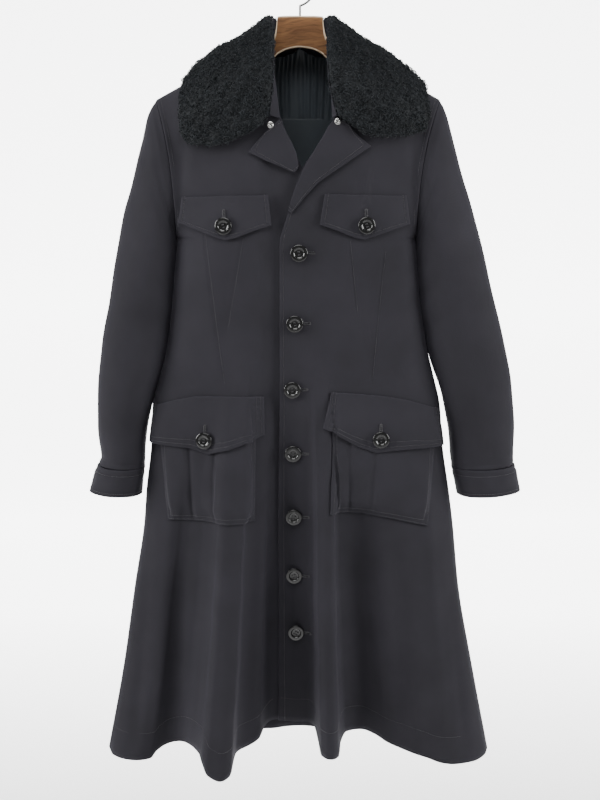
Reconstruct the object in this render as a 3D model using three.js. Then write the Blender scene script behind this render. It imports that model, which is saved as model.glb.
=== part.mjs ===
// A long military coat on a wooden hanger. Millimetres, +Z up, +X to the wearer's left,
// -Y to the front. The origin is the seat of the hanger's hook, where a rail carries it.
import * as THREE from 'three';

// Driving sizes
const WALL = 2.0;            // cloth of a panel, with its facing
const SEAM_HALF = 0.16;      // half of the gap between two panels that are sewn together
const ON_PANEL = 0.75;       // gap between a panel and a piece that lies on it
const NECK_Z = -100.5;       // shoulder seam at the neck
const NECK_X = 58;
const SHOULDER_Z = -190;     // shoulder seam at the armhole
const UNDERARM_Z = -400;
const HEM_Z = -1245;
const FLARE_Z = -610;        // the flutes of the skirt start to open here
const FLARE_POWER = 1.15;
const SHOULDER_ROUND = 70;   // height over which the body rounds from its front to its shoulder
const SHOULDER_X = { left: -221, right: 215 };
const ARMHOLE_DEPTH = 53;    // half of the armhole's front to back size
const ARMHOLE_CURVE = 2.6;
const RING_STEPS = 8;        // steps of half an armhole
const LAP_SINK = 4.8;        // how far the lower front sinks where the upper one laps over it
const SINK_X = [-64, -38];   // it sinks over this width, and over this depth below the hook
const SINK_DROP = [235, 285];

// Outline of the body from the front: x of each side, and how square its plan is
const OUTLINE = [
  { z: -400, left: -192, right: 180, square: 2.9 },
  { z: -432, left: -195, right: 183, square: 2.8 },
  { z: -500, left: -202, right: 190, square: 2.6 },
  { z: -575, left: -212, right: 202, square: 2.5 },
  { z: -620, left: -224, right: 213, square: 2.4 },
  { z: -668, left: -236, right: 224, square: 2.4 },
  { z: -730, left: -239, right: 229, square: 2.4 },
  { z: -802, left: -248, right: 240, square: 2.4 },
  { z: -860, left: -253, right: 248, square: 2.4 },
  { z: -964, left: -270, right: 259, square: 2.3 },
  { z: -1100, left: -291, right: 284, square: 2.2 },
  { z: -1245, left: -319, right: 313, square: 2.2 },
];

// Depth of the body along its middle: the front falls back towards the hem, the back stands out
const MIDDLE = [
  { z: -65, front: 70, back: 62 },
  { z: -216, front: 77, back: 66 },
  { z: -300, front: 78, back: 68 },
  { z: -422, front: 74, back: 64 },
  { z: -530, front: 67, back: 56 },
  { z: -635, front: 61, back: 57 },
  { z: -740, front: 53, back: 64 },
  { z: -845, front: 43, back: 71 },
  { z: -1045, front: 23, back: 80 },
  { z: -1245, front: 6, back: 84 },
];

// The hem from one side seam to the other: where each valley and ridge of the skirt ends
const FRONT_HEM = [
  { x: -319, y: 0, z: -1245 },
  { x: -314, y: -10, z: -1248 },
  { x: -300, y: -24, z: -1253 },
  { x: -274, y: -34, z: -1256 },
  { x: -240, y: -34, z: -1246 },
  { x: -207, y: -24, z: -1226 },
  { x: -180, y: -42, z: -1232 },
  { x: -160, y: -72, z: -1246 },
  { x: -136, y: -105, z: -1260 },
  { x: -117, y: -92, z: -1254 },
  { x: -103, y: -46, z: -1232 },
  { x: -84, y: -34, z: -1225 },
  { x: -62, y: -27, z: -1220 },
  { x: -35, y: -7, z: -1207 },
  { x: -10, y: -3, z: -1204 },
  { x: 12, y: -4, z: -1203 },
  { x: 27, y: -26, z: -1212 },
  { x: 38, y: -62, z: -1230 },
  { x: 53, y: -77, z: -1236 },
  { x: 65, y: -56, z: -1228 },
  { x: 77, y: -18, z: -1213 },
  { x: 92, y: -10, z: -1210 },
  { x: 114, y: -18, z: -1214 },
  { x: 150, y: -34, z: -1223 },
  { x: 190, y: -46, z: -1236 },
  { x: 226, y: -51, z: -1248 },
  { x: 260, y: -46, z: -1257 },
  { x: 290, y: -30, z: -1257 },
  { x: 306, y: -14, z: -1252 },
  { x: 313, y: 0, z: -1247 },
];
const BACK_HEM = [
  { x: -319, y: 0, z: -1245 },
  { x: -312, y: 14, z: -1247 },
  { x: -292, y: 38, z: -1252 },
  { x: -262, y: 58, z: -1254 },
  { x: -232, y: 50, z: -1247 },
  { x: -204, y: 42, z: -1240 },
  { x: -176, y: 62, z: -1244 },
  { x: -150, y: 100, z: -1256 },
  { x: -126, y: 112, z: -1260 },
  { x: -104, y: 90, z: -1252 },
  { x: -80, y: 60, z: -1240 },
  { x: -50, y: 58, z: -1237 },
  { x: -24, y: 76, z: -1241 },
  { x: 0, y: 84, z: -1243 },
  { x: 26, y: 72, z: -1240 },
  { x: 54, y: 56, z: -1236 },
  { x: 82, y: 66, z: -1242 },
  { x: 106, y: 98, z: -1255 },
  { x: 128, y: 113, z: -1260 },
  { x: 152, y: 92, z: -1252 },
  { x: 178, y: 56, z: -1240 },
  { x: 208, y: 44, z: -1238 },
  { x: 238, y: 56, z: -1248 },
  { x: 266, y: 56, z: -1254 },
  { x: 290, y: 34, z: -1252 },
  { x: 307, y: 12, z: -1248 },
  { x: 313, y: 0, z: -1247 },
];

// Free edges of the two fronts: the neckline, the roll of the lapel, then the edge to the hem
const FRONT_EDGE = [
  { z: -100.5, lower: -58, upper: 58 },
  { z: -125, lower: -49, upper: 51 },
  { z: -150, lower: -43, upper: 49 },
  { z: -187, lower: -36, upper: 50 },
  { z: -216, lower: -30, upper: 52 },
  { z: -300, lower: 5, upper: 1 },
  { z: -345, lower: 20, upper: -14 },
  { z: -368, lower: 25, upper: -20 },
  { z: -410, lower: 28, upper: -31 },
  { z: -1260, lower: 28, upper: -32 },
];

// Sleeves: the outer and the inner edge of each section, and half its depth
const SLEEVES = {
  left: [
    { outX: -234, outZ: -213, inX: -196, inZ: -409, depth: 55 },
    { outX: -246, outZ: -258, inX: -199, inZ: -424, depth: 57 },
    { outX: -262, outZ: -318, inX: -202, inZ: -446, depth: 57 },
    { outX: -276, outZ: -367, inX: -205, inZ: -474, depth: 56 },
    { outX: -289, outZ: -432, inX: -209, inZ: -510, depth: 54 },
    { outX: -301, outZ: -500, inX: -214, inZ: -550, depth: 53 },
    { outX: -314, outZ: -565, inX: -222, inZ: -596, depth: 52 },
    { outX: -322, outZ: -635, inX: -240, inZ: -650, depth: 51 },
    { outX: -324, outZ: -700, inX: -246, inZ: -706, depth: 50 },
    { outX: -319, outZ: -745, inX: -249, inZ: -750, depth: 47 },
    { outX: -323, outZ: -761, inX: -250, inZ: -766, depth: 48 },
  ],
  right: [
    { outX: 228, outZ: -217, inX: 184, inZ: -409, depth: 55 },
    { outX: 240, outZ: -262, inX: 187, inZ: -424, depth: 57 },
    { outX: 257, outZ: -320, inX: 190, inZ: -446, depth: 57 },
    { outX: 272, outZ: -367, inX: 193, inZ: -474, depth: 56 },
    { outX: 290, outZ: -432, inX: 197, inZ: -510, depth: 54 },
    { outX: 307, outZ: -500, inX: 203, inZ: -550, depth: 53 },
    { outX: 324, outZ: -565, inX: 213, inZ: -596, depth: 52 },
    { outX: 337, outZ: -635, inX: 229, inZ: -650, depth: 51 },
    { outX: 343, outZ: -700, inX: 237, inZ: -706, depth: 50 },
    { outX: 343, outZ: -745, inX: 242, inZ: -750, depth: 49 },
    { outX: 343, outZ: -761, inX: 244, inZ: -766, depth: 49 },
  ],
};
const CUFFS = {
  left: [
    { outX: -325, outZ: -762, inX: -249.5, inZ: -767, depth: 49.5 },
    { outX: -333, outZ: -782, inX: -253, inZ: -788, depth: 51 },
    { outX: -340, outZ: -804, inX: -256, inZ: -811, depth: 50 },
  ],
  right: [
    { outX: 345, outZ: -762, inX: 243.5, inZ: -767, depth: 50.5 },
    { outX: 350, outZ: -782, inX: 248, inZ: -788, depth: 52 },
    { outX: 355, outZ: -804, inX: 253, inZ: -811, depth: 51 },
  ],
};

// The fur collar: its roll round the neck and its outer edge, from the front end to the back
const COLLAR_ROLL = [
  { left: -47, right: 57, y: -84, z: -218 },
  { left: -44, right: 49, y: -83, z: -192 },
  { left: -41, right: 43, y: -78, z: -155 },
  { left: -40, right: 42, y: -58, z: -115 },
  { left: -41, right: 43, y: -36, z: -86 },
  { left: -45, right: 46, y: -10, z: -70 },
  { left: -43, right: 43, y: 22, z: -67 },
  { left: -26, right: 26, y: 45, z: -69 },
  { left: 0, right: 0, y: 53, z: -71 },
];
const COLLAR_EDGE = [
  { left: -66, right: 76, y: -84, leftZ: -236, rightZ: -230 },
  { left: -94, right: 100, y: -84, leftZ: -252, rightZ: -245 },
  { left: -130, right: 130, y: -80, leftZ: -261, rightZ: -248 },
  { left: -163, right: 162, y: -68, leftZ: -260, rightZ: -246 },
  { left: -178, right: 188, y: -54, leftZ: -240, rightZ: -238 },
  { left: -180, right: 194, y: -30, leftZ: -210, rightZ: -212 },
  { left: -160, right: 172, y: 22, leftZ: -178, rightZ: -182 },
  { left: -90, right: 96, y: 74, leftZ: -188, rightZ: -188 },
  { left: 0, right: 0, y: 86, leftZ: -192, rightZ: -192 },
];
const FUR_THICKNESS = [
  { q: 0, t: 7 },
  { q: 0.25, t: 15 },
  { q: 0.5, t: 21 },
  { q: 0.78, t: 16 },
  { q: 1, t: 6 },
];

// Flaps: each row is a line from the flap's top edge down to its lower edge
const CHEST_FLAPS = {
  left: [
    { topX: -48, topZ: -335, lowX: -43, lowZ: -380 },
    { topX: -72, topZ: -336, lowX: -70, lowZ: -389 },
    { topX: -98, topZ: -336, lowX: -96, lowZ: -399 },
    { topX: -112, topZ: -336, lowX: -112, lowZ: -403 },
    { topX: -128, topZ: -337, lowX: -129, lowZ: -398 },
    { topX: -154, topZ: -338, lowX: -156, lowZ: -387 },
    { topX: -180, topZ: -338, lowX: -184, lowZ: -376 },
  ],
  right: [
    { topX: 37, topZ: -334, lowX: 30, lowZ: -379 },
    { topX: 60, topZ: -334, lowX: 58, lowZ: -389 },
    { topX: 84, topZ: -335, lowX: 82, lowZ: -399 },
    { topX: 97, topZ: -335, lowX: 97, lowZ: -402 },
    { topX: 112, topZ: -335, lowX: 112, lowZ: -397 },
    { topX: 138, topZ: -336, lowX: 140, lowZ: -387 },
    { topX: 161, topZ: -336, lowX: 166, lowZ: -379 },
  ],
};
const HIP_FLAPS = {
  left: [
    { topX: -56, topZ: -645, lowX: -55, lowZ: -706 },
    { topX: -84, topZ: -645, lowX: -84, lowZ: -717 },
    { topX: -112, topZ: -645, lowX: -116, lowZ: -730 },
    { topX: -134, topZ: -645, lowX: -140, lowZ: -736 },
    { topX: -164, topZ: -646, lowX: -172, lowZ: -727 },
    { topX: -196, topZ: -653, lowX: -204, lowZ: -725 },
    { topX: -220, topZ: -661, lowX: -226, lowZ: -724 },
    { topX: -230, topZ: -664, lowX: -235.5, lowZ: -723 },
  ],
  right: [
    { topX: 48, topZ: -638, lowX: 36, lowZ: -693 },
    { topX: 68, topZ: -639, lowX: 64, lowZ: -708 },
    { topX: 92, topZ: -641, lowX: 94, lowZ: -724 },
    { topX: 112, topZ: -643, lowX: 118, lowZ: -733 },
    { topX: 138, topZ: -646, lowX: 146, lowZ: -730 },
    { topX: 168, topZ: -652, lowX: 176, lowZ: -728 },
    { topX: 204, topZ: -664, lowX: 210, lowZ: -728 },
    { topX: 217, topZ: -669, lowX: 225, lowZ: -729 },
  ],
};
// How far a flap's inner face stands off the panel, from its top edge to its lower edge
const CHEST_FLAP_RISE = [{ q: 0, out: 0 }, { q: 0.5, out: 1.2 }, { q: 1, out: 3.2 }];
const HIP_FLAP_RISE = [{ q: 0, out: 0 }, { q: 0.3, out: 3.6 }, { q: 0.65, out: 7 }, { q: 1, out: 9 }];
const FLAP_END_RISE = 0.25;  // share of that rise which is left at the flap's ends

// Bellows pockets: side edges, lower edge and the two pleats, as shares of the width
const HIP_POCKETS = {
  left: {
    innerTopX: -68, outerTopX: -222, innerLowX: -71, outerLowX: -210,
    innerTopZ: -670, outerTopZ: -690, innerLowZ: -846, outerLowZ: -846, pleats: [0.42, 0.7],
  },
  right: {
    innerTopX: 49, outerTopX: 214, innerLowX: 46, outerLowX: 200,
    innerTopZ: -670, outerTopZ: -700, innerLowZ: -832, outerLowZ: -854, pleats: [0.2, 0.44],
  },
};
const POCKET_BULGE = [
  { q: 0, out: 0.2 }, { q: 0.33, out: 4 }, { q: 0.6, out: 8 }, { q: 0.85, out: 8.5 }, { q: 1, out: 0.2 },
];
const PLEAT_SINK = 3.2;
const PLEAT_HALF = 0.05;     // half of a pleat's width, as a share of the pocket's
const POCKET_COLUMNS = [0, 0.04, 0.14, 0.24, 0.34, 0.56, 0.64, 0.78, 0.87, 0.96, 1];
const POCKET_ROWS = [0, 0.2, 0.36, 0.6, 0.85, 0.95, 1];
const POCKET_OFF = 1;        // gap between the front and a pocket's edges

// Lapels: each row goes from the roll line to the outer edge
const LAPELS = {
  left: [
    { rollX: -31, rollZ: -224, edgeX: -53, edgeZ: -244 },
    { rollX: -22, rollZ: -240, edgeX: -66, edgeZ: -258 },
    { rollX: -13, rollZ: -256, edgeX: -77, edgeZ: -272 },
    { rollX: -6, rollZ: -272, edgeX: -50, edgeZ: -285 },
    { rollX: -3, rollZ: -286, edgeX: -25, edgeZ: -295 },
    { rollX: -3, rollZ: -296, edgeX: -9, edgeZ: -302 },
  ],
  right: [
    { rollX: 53, rollZ: -220, edgeX: 73, edgeZ: -231 },
    { rollX: 42, rollZ: -234, edgeX: 88, edgeZ: -249 },
    { rollX: 33, rollZ: -250, edgeX: 106, edgeZ: -263 },
    { rollX: 17, rollZ: -276, edgeX: 66, edgeZ: -290 },
    { rollX: 4, rollZ: -298, edgeX: 27, edgeZ: -317 },
    { rollX: -9, rollZ: -330, edgeX: 5, edgeZ: -341 },
    { rollX: -18, rollZ: -358, edgeX: -13, edgeZ: -363 },
  ],
};
const LAPEL_RISE = 3;        // the lapel's outer edge stands this far off the front

// Buttons
const FRONT_BUTTONS = [
  { x: -1.5, z: -422 }, { x: -8, z: -530 }, { x: -12, z: -634 }, { x: -11, z: -738 },
  { x: -10, z: -843 }, { x: -9.5, z: -943 }, { x: -6.5, z: -1042 },
];
const CHEST_BUTTONS = { left: { x: -114, z: -381 }, right: { x: 99, z: -380 } };
const HIP_BUTTONS = { left: { x: -146, z: -713 }, right: { x: 125, z: -711 } };
const SNAPS = { left: { x: -44, z: -232 }, right: { x: 56, z: -227 } };
const BUTTON_RADIUS = 13.2;
const BUTTON_HEIGHT = 6.4;   // with its shank
const FRONT_BUTTON_LIFT = 0.8;
const CHEST_BUTTON_LIFT = 4.8;  // the flaps' buttons sit on the flaps
const HIP_BUTTON_LIFT = 11;
const SNAP_LIFT = { left: 2.5, right: 2.8 };  // the snaps sit on the lapels
const SNAP_RADIUS = 5;
const SNAP_HEIGHT = 2.6;

// Back of the neck inside: a facing, and the satin lining below its seam
const FACING_SEAM_Z = -220;
const LINING_LOW_Z = -440;
const LINING_HALF = 0.34;    // share of the half width that the facing and lining cover
const LINING_GAP = 5.6;       // between the back and what lines it
const LINING_PLEATS = 5;
const LINING_PLEAT_DEPTH = 1.6;

// Hanger
const WIRE_RADIUS = 1.7;
const HOOK_RADIUS = 22;
const HANGER_SECTIONS = [
  { x: -206, top: -190, low: -206, half: 17 },
  { x: -196, top: -184.5, low: -209, half: 21 },
  { x: -150, top: -158, low: -188, half: 17 },
  { x: -100, top: -130, low: -160, half: 12 },
  { x: -60, top: -108.5, low: -138, half: 9 },
  { x: -40, top: -96, low: -127, half: 7.5 },
  { x: -37, top: -84, low: -125, half: 7 },
  { x: -34, top: -66, low: -122, half: 7 },
  { x: -16, top: -65, low: -114, half: 7 },
  { x: 0, top: -65, low: -112, half: 7 },
  { x: 16, top: -65, low: -114, half: 7 },
  { x: 34, top: -66, low: -122, half: 7 },
  { x: 37, top: -84, low: -125, half: 7 },
  { x: 40, top: -96, low: -127, half: 7.5 },
  { x: 60, top: -108.5, low: -138, half: 9 },
  { x: 100, top: -130.5, low: -160, half: 12 },
  { x: 150, top: -160, low: -190, half: 17 },
  { x: 190, top: -184.5, low: -209, half: 21 },
  { x: 200, top: -190, low: -206, half: 17 },
];

const CLOTH = { color: 0x35353a, roughness: 0.9, metalness: 0 };
const FUR = { color: 0x161618, roughness: 1, metalness: 0 };
const SATIN = { color: 0x4a4a50, roughness: 0.45, metalness: 0 };
const BUTTON = { color: 0x1b1b1d, roughness: 0.3, metalness: 0 };
const STEEL = { color: 0xb9babd, roughness: 0.3, metalness: 1 };
const WOOD = { color: 0x8a5a35, roughness: 0.5, metalness: 0 };

const vec = (x, y, z) => new THREE.Vector3(x, y, z);
const lerp = THREE.MathUtils.lerp;
const clamp = THREE.MathUtils.clamp;
const smoothstep = THREE.MathUtils.smoothstep;
const range = (count) => Array.from({ length: count + 1 }, (_, i) => i / count);

// A smooth curve through the rows of a table that never overshoots them
function curve(rows, key, column, at) {
  const step = Math.sign(rows[1][key] - rows[0][key]);
  const place = clamp(at * step, rows[0][key] * step, rows.at(-1)[key] * step);
  let i = 0;
  while (i < rows.length - 2 && place > rows[i + 1][key] * step) i += 1;
  const slope = (k) => (rows[k + 1][column] - rows[k][column]) / (rows[k + 1][key] - rows[k][key]);
  const tangent = (k) => {
    if (k === 0) return slope(0);
    if (k === rows.length - 1) return slope(k - 1);
    const [before, after] = [slope(k - 1), slope(k)];
    return before * after <= 0 ? 0 : (2 * before * after) / (before + after);
  };
  const width = rows[i + 1][key] - rows[i][key];
  const t = (place * step - rows[i][key]) / width;
  return rows[i][column] * (1 + 2 * t) * (1 - t) ** 2 + rows[i + 1][column] * (3 - 2 * t) * t ** 2
    + width * (tangent(i) * t * (1 - t) ** 2 - tangent(i + 1) * (1 - t) * t ** 2);
}

// The body's surface. `share` runs from -1 at the left side to 1 at the right side. `down`
// runs from 0 at the shoulder seam to 1 at the underarm, and from 1 to 2 at the hem.
const hand = (share) => (share < 0 ? 'left' : 'right');
const NECK_SHARE = NECK_X / Math.abs(SHOULDER_X.left);
const SHOULDER_RISE = (NECK_Z - SHOULDER_Z) / (1 - NECK_SHARE);
const BACK_NECK_DROP = 32;

const ease = (down) => (1 - Math.cos(Math.PI * down)) / 2;
const shoulderLine = (share) => SHOULDER_Z + (1 - Math.abs(share)) * SHOULDER_RISE;

// Points of an armhole: `turn` is 0 at the shoulder, 1 at the underarm
function armhole(side, turn, face) {
  const sideX = OUTLINE[0][side];
  const reach = Math.cos((Math.PI * turn) / 2) ** (2 * ARMHOLE_CURVE);
  return vec(
    sideX + (SHOULDER_X[side] - sideX) * reach,
    face * ARMHOLE_DEPTH * Math.sin(Math.PI * turn),
    SHOULDER_Z + (UNDERARM_Z - SHOULDER_Z) * ease(turn),
  );
}

const FACES = {
  front: { sign: -1, depth: 'front', hem: FRONT_HEM },
  back: { sign: 1, depth: 'back', hem: BACK_HEM },
};

function neckDrop(face, share) {
  if (face === 'front') return 0;
  const inNeck = clamp(1 - (share / NECK_SHARE) ** 2, 0, 1);
  return BACK_NECK_DROP * inNeck ** 0.6;
}

function fullness(share, square) {
  return Math.max(0, 1 - Math.abs(share) ** square) ** (1 / square);
}

function bodyPoint(face, share, down) {
  const { sign, depth, hem } = FACES[face];
  const side = hand(share);
  if (down <= 1) {
    const edge = armhole(side, down, sign);
    const line = shoulderLine(share);
    const start = line - neckDrop(face, share);
    const z = start + (UNDERARM_Z - start) * ease(down);
    const round = Math.sqrt(1 - (1 - Math.min((line - z) / SHOULDER_ROUND, 1)) ** 2);
    const full = fullness(share, OUTLINE[0].square);
    const middle = sign * curve(MIDDLE, 'z', depth, z) * round;
    return vec(Math.abs(share) * edge.x, edge.y * (1 - full) + middle * full, z);
  }
  const flat = UNDERARM_Z + (HEM_Z - UNDERARM_Z) * (down - 1);
  const full = fullness(share, curve(OUTLINE, 'z', 'square', flat));
  const y = sign * curve(MIDDLE, 'z', depth, flat) * full;
  const hemX = Math.abs(share) * OUTLINE.at(-1)[side];
  const plainHem = sign * MIDDLE.at(-1)[depth] * fullness(share, OUTLINE.at(-1).square);
  const open = clamp((FLARE_Z - flat) / (FLARE_Z - HEM_Z), 0, 1) ** FLARE_POWER;
  return vec(
    Math.abs(share) * curve(OUTLINE, 'z', side, flat),
    y + (curve(hem, 'x', 'y', hemX) - plainHem) * open,
    flat + (curve(hem, 'x', 'z', hemX) - HEM_Z) * open,
  );
}

// Finds the share and the height of the point of a face that is seen at x and z
function locate(face, x, z) {
  const shareAt = (down) => {
    const half = Math.abs(bodyPoint(face, x < 0 ? -0.5 : 0.5, down).x) * 2;
    return clamp(x / half, -0.999, 0.999);
  };
  let [above, below] = [0, 2];
  for (let i = 0; i < 26; i += 1) {
    const down = (above + below) / 2;
    if (bodyPoint(face, shareAt(down), down).z > z) above = down;
    else below = down;
  }
  return [shareAt(above), above];
}

function outward(face, share, down) {
  const eps = 0.004;
  const a = bodyPoint(face, clamp(share - eps, -0.999, 0.999), down);
  const b = bodyPoint(face, clamp(share + eps, -0.999, 0.999), down);
  const c = bodyPoint(face, share, clamp(down - eps, 0.001, 2));
  const d = bodyPoint(face, share, clamp(down + eps, 0.001, 2));
  const normal = b.sub(a).cross(d.sub(c)).normalize();
  return normal.y * FACES[face].sign < 0 ? normal.negate() : normal;
}

// A point that lies `out` off the face at x and z
function onFace(face, x, z, out) {
  const [share, down] = locate(face, x, z);
  return bodyPoint(face, share, down).addScaledVector(outward(face, share, down), out);
}

// Normals of a grid of points, which has rows of equal length
function gridNormals(grid, wraps) {
  const rows = grid.length;
  const columns = grid[0].length;
  return grid.map((row, r) => row.map((_, c) => {
    const left = wraps ? row[(c + columns - 1) % columns] : row[Math.max(c - 1, 0)];
    const right = wraps ? row[(c + 1) % columns] : row[Math.min(c + 1, columns - 1)];
    const up = grid[Math.max(r - 1, 0)][c];
    const down = grid[Math.min(r + 1, rows - 1)][c];
    return right.clone().sub(left).cross(down.clone().sub(up)).normalize();
  }));
}

// A closed solid between two grids of points. A grid that wraps is a tube open at both ends.
function between(outer, inner, wraps = false) {
  const rows = outer.length;
  const columns = outer[0].length;
  const points = [...outer.flat(), ...inner.flat()];
  const index = (r, c, layer) => layer * rows * columns + r * columns + (c % columns);
  const faces = [];
  const quad = (a, b, c, d) => faces.push(a, b, c, a, c, d);
  const lastColumn = wraps ? columns : columns - 1;
  for (let r = 0; r < rows - 1; r += 1) {
    for (let c = 0; c < lastColumn; c += 1) {
      quad(index(r, c, 0), index(r + 1, c, 0), index(r + 1, c + 1, 0), index(r, c + 1, 0));
      quad(index(r, c, 1), index(r, c + 1, 1), index(r + 1, c + 1, 1), index(r + 1, c, 1));
    }
  }
  const [lastRow, end] = [rows - 1, columns - 1];
  for (let c = 0; c < lastColumn; c += 1) {
    quad(index(0, c, 0), index(0, c + 1, 0), index(0, c + 1, 1), index(0, c, 1));
    quad(index(lastRow, c, 0), index(lastRow, c, 1), index(lastRow, c + 1, 1), index(lastRow, c + 1, 0));
  }
  if (!wraps) {
    for (let r = 0; r < lastRow; r += 1) {
      quad(index(r, 0, 0), index(r, 0, 1), index(r + 1, 0, 1), index(r + 1, 0, 0));
      quad(index(r, end, 0), index(r + 1, end, 0), index(r + 1, end, 1), index(r, end, 1));
    }
  }
  return solid(points, faces);
}

// A geometry from points and triangles, with its faces turned out
function solid(points, faces) {
  let volume = 0;
  for (let i = 0; i < faces.length; i += 3) {
    const [a, b, c] = [points[faces[i]], points[faces[i + 1]], points[faces[i + 2]]];
    volume += a.dot(b.clone().cross(c));
  }
  const turned = volume < 0 ? faces.toReversed() : faces;
  const geometry = new THREE.BufferGeometry();
  const places = points.flatMap((p) => [p.x, p.y, p.z]);
  geometry.setAttribute('position', new THREE.Float32BufferAttribute(places, 3));
  geometry.setIndex(turned);
  geometry.computeVertexNormals();
  return geometry;
}

// Gives a grid its wall. `inward` may name the direction of the wall at a row and column.
function wall(grid, thickness, { facing, inward = () => null, wraps = false, pulls = [] }) {
  const normals = gridNormals(grid, wraps);
  const middle = normals[Math.floor(grid.length / 2)][Math.floor(grid[0].length / 2)];
  const flip = middle.dot(facing) > 0 ? -1 : 1;
  const inner = grid.map((row, r) => row.map((point, c) => {
    const direction = inward(r, c) ?? normals[r][c].clone().multiplyScalar(flip);
    return point.clone().addScaledVector(direction, thickness);
  }));
  for (const pull of pulls) {
    pull(grid);
    pull(inner);
  }
  return between(grid, inner, wraps);
}

// Draws one edge of a grid back by half a seam's gap
function pullColumn(edge, next) {
  return (grid) => grid.forEach((row) => {
    const toNext = row.at(next).clone().sub(row.at(edge)).normalize();
    row.at(edge).addScaledVector(toNext, SEAM_HALF);
  });
}
function pullRow(edge, next, only = () => true) {
  return (grid) => grid.at(edge).forEach((point, c) => {
    if (!only(c)) return;
    const toNext = grid.at(next)[c].clone().sub(point).normalize();
    point.addScaledVector(toNext, SEAM_HALF);
  });
}

// The wall's direction at seams, which both pieces of a seam share
const atShoulder = vec(0, 0, -1);
const atArmhole = (turn, face) => vec(0, -face * Math.sin(Math.PI * turn), -Math.cos(Math.PI * turn));
const atSide = (side) => vec(side === 'left' ? 1 : -1, 0, 0);

const UPPER_ROWS = range(RING_STEPS);
const LOWER_ROWS = [-450, -515, -585, -655, -730, -820, -920, -1025, -1135, -1245];
const DOWNS = [...UPPER_ROWS, ...LOWER_ROWS.map((z) => 1 + (UNDERARM_Z - z) / (UNDERARM_Z - HEM_Z))];

// The share at which a front's free edge crosses a row
function edgeShare(down, layer) {
  let share = NECK_SHARE * (layer === 'lower' ? -1 : 1);
  for (let i = 0; i < 12; i += 1) {
    const here = bodyPoint('front', share, down);
    const x = curve(FRONT_EDGE, 'z', layer, here.z);
    const width = Math.abs(bodyPoint('front', x < 0 ? -0.5 : 0.5, down).x) * 2;
    share = x / width;
  }
  return share;
}

function frontPanel(layer) {
  const side = layer === 'lower' ? 'left' : 'right';
  const end = side === 'left' ? -1 : 1;
  const hemEdge = curve(FRONT_EDGE, 'z', layer, HEM_Z);
  const beyond = FRONT_HEM.filter(({ x }) => (x - hemEdge) * end > 4);
  const stations = [hemEdge, ...(end < 0 ? beyond.toReversed() : beyond).map(({ x }) => x)];
  const hemShare = (x) => x / Math.abs(OUTLINE.at(-1)[x < 0 ? 'left' : 'right']);
  const first = hemShare(hemEdge);
  const columns = stations.map((x) => (clamp(hemShare(x), -1, 1) - first) / (end - first));
  const grid = DOWNS.map((down) => {
    const start = edgeShare(down, layer);
    return columns.map((c) => {
      const share = c > 0.9999 ? end : lerp(start, end, c);
      const point = bodyPoint('front', share, down);
      if (layer === 'upper') return point;
      const sink = smoothstep(point.x, ...SINK_X) * smoothstep(-point.z, ...SINK_DROP);
      return point.addScaledVector(outward('front', share, down), -LAP_SINK * sink);
    });
  });
  return wall(grid, WALL, {
    facing: vec(0, -1, 0),
    inward: (r, c) => {
      if (r === 0) return atShoulder;
      if (c < columns.length - 1) return null;
      return r <= RING_STEPS ? atArmhole(DOWNS[r], -1) : atSide(side);
    },
    pulls: [pullColumn(-1, -2), pullRow(0, 1)],
  });
}

function backPanel() {
  const necks = [-1, -0.62, -0.28, 0, 0.28, 0.62, 1].map((k) => k * NECK_SHARE);
  const hemShare = ({ x }) => clamp(x / Math.abs(OUTLINE.at(-1)[x < 0 ? 'left' : 'right']), -1, 1);
  const spread = BACK_HEM.map(hemShare).filter((share) => Math.abs(share) > NECK_SHARE + 0.03);
  const shares = [...spread.filter((s) => s < 0), ...necks, ...spread.filter((s) => s > 0)];
  const grid = DOWNS.map((down) => shares.map((share) => bodyPoint('back', share, down)));
  const last = shares.length - 1;
  return wall(grid, WALL, {
    facing: vec(0, 1, 0),
    inward: (r, c) => {
      if (r === 0 && Math.abs(shares[c]) > NECK_SHARE - 0.001) return atShoulder;
      if (c > 0 && c < last) return null;
      return r <= RING_STEPS ? atArmhole(DOWNS[r], 1) : atSide(c === 0 ? 'left' : 'right');
    },
    pulls: [pullColumn(0, 1), pullColumn(-1, -2), pullRow(0, 1)],
  });
}

// A section of a sleeve, as points round it from its outer edge by the front to the back
function sleeveSection({ outX, outZ, inX, inZ, depth }) {
  return Array.from({ length: 2 * RING_STEPS }, (_, i) => {
    const angle = (Math.PI * i) / RING_STEPS;
    const outer = (1 + Math.cos(angle)) / 2;
    return vec(lerp(inX, outX, outer), -depth * Math.sin(angle), lerp(inZ, outZ, outer));
  });
}

function sleeve(side) {
  const turns = Array.from({ length: 2 * RING_STEPS }, (_, i) => i / RING_STEPS);
  const ring = turns.map((turn) => armhole(side, Math.min(turn, 2 - turn), turn <= 1 ? -1 : 1));
  const grid = [ring, ...SLEEVES[side].map(sleeveSection)];
  return wall(grid, WALL, {
    facing: vec(side === 'left' ? 1 : -1, 0, 0),
    inward: (r, c) => (r === 0 ? atArmhole(Math.min(turns[c], 2 - turns[c]), turns[c] <= 1 ? -1 : 1) : null),
    wraps: true,
    pulls: [pullRow(0, 1)],
  });
}

function cuff(side) {
  return wall(CUFFS[side].map(sleeveSection), WALL + 0.4, {
    facing: vec(side === 'left' ? 1 : -1, 0, 0),
    wraps: true,
  });
}

// Pieces that lie on the front: a grid of points seen at x and z, and their distance off it
function layOnFront(columns, rows, place, out, thickness) {
  const grid = (extra) => rows.map((q) => columns.map((u) => {
    const { x, z } = place(u, q);
    return onFace('front', x, z, out(u, q) + extra);
  }));
  return between(grid(thickness), grid(0));
}

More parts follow.
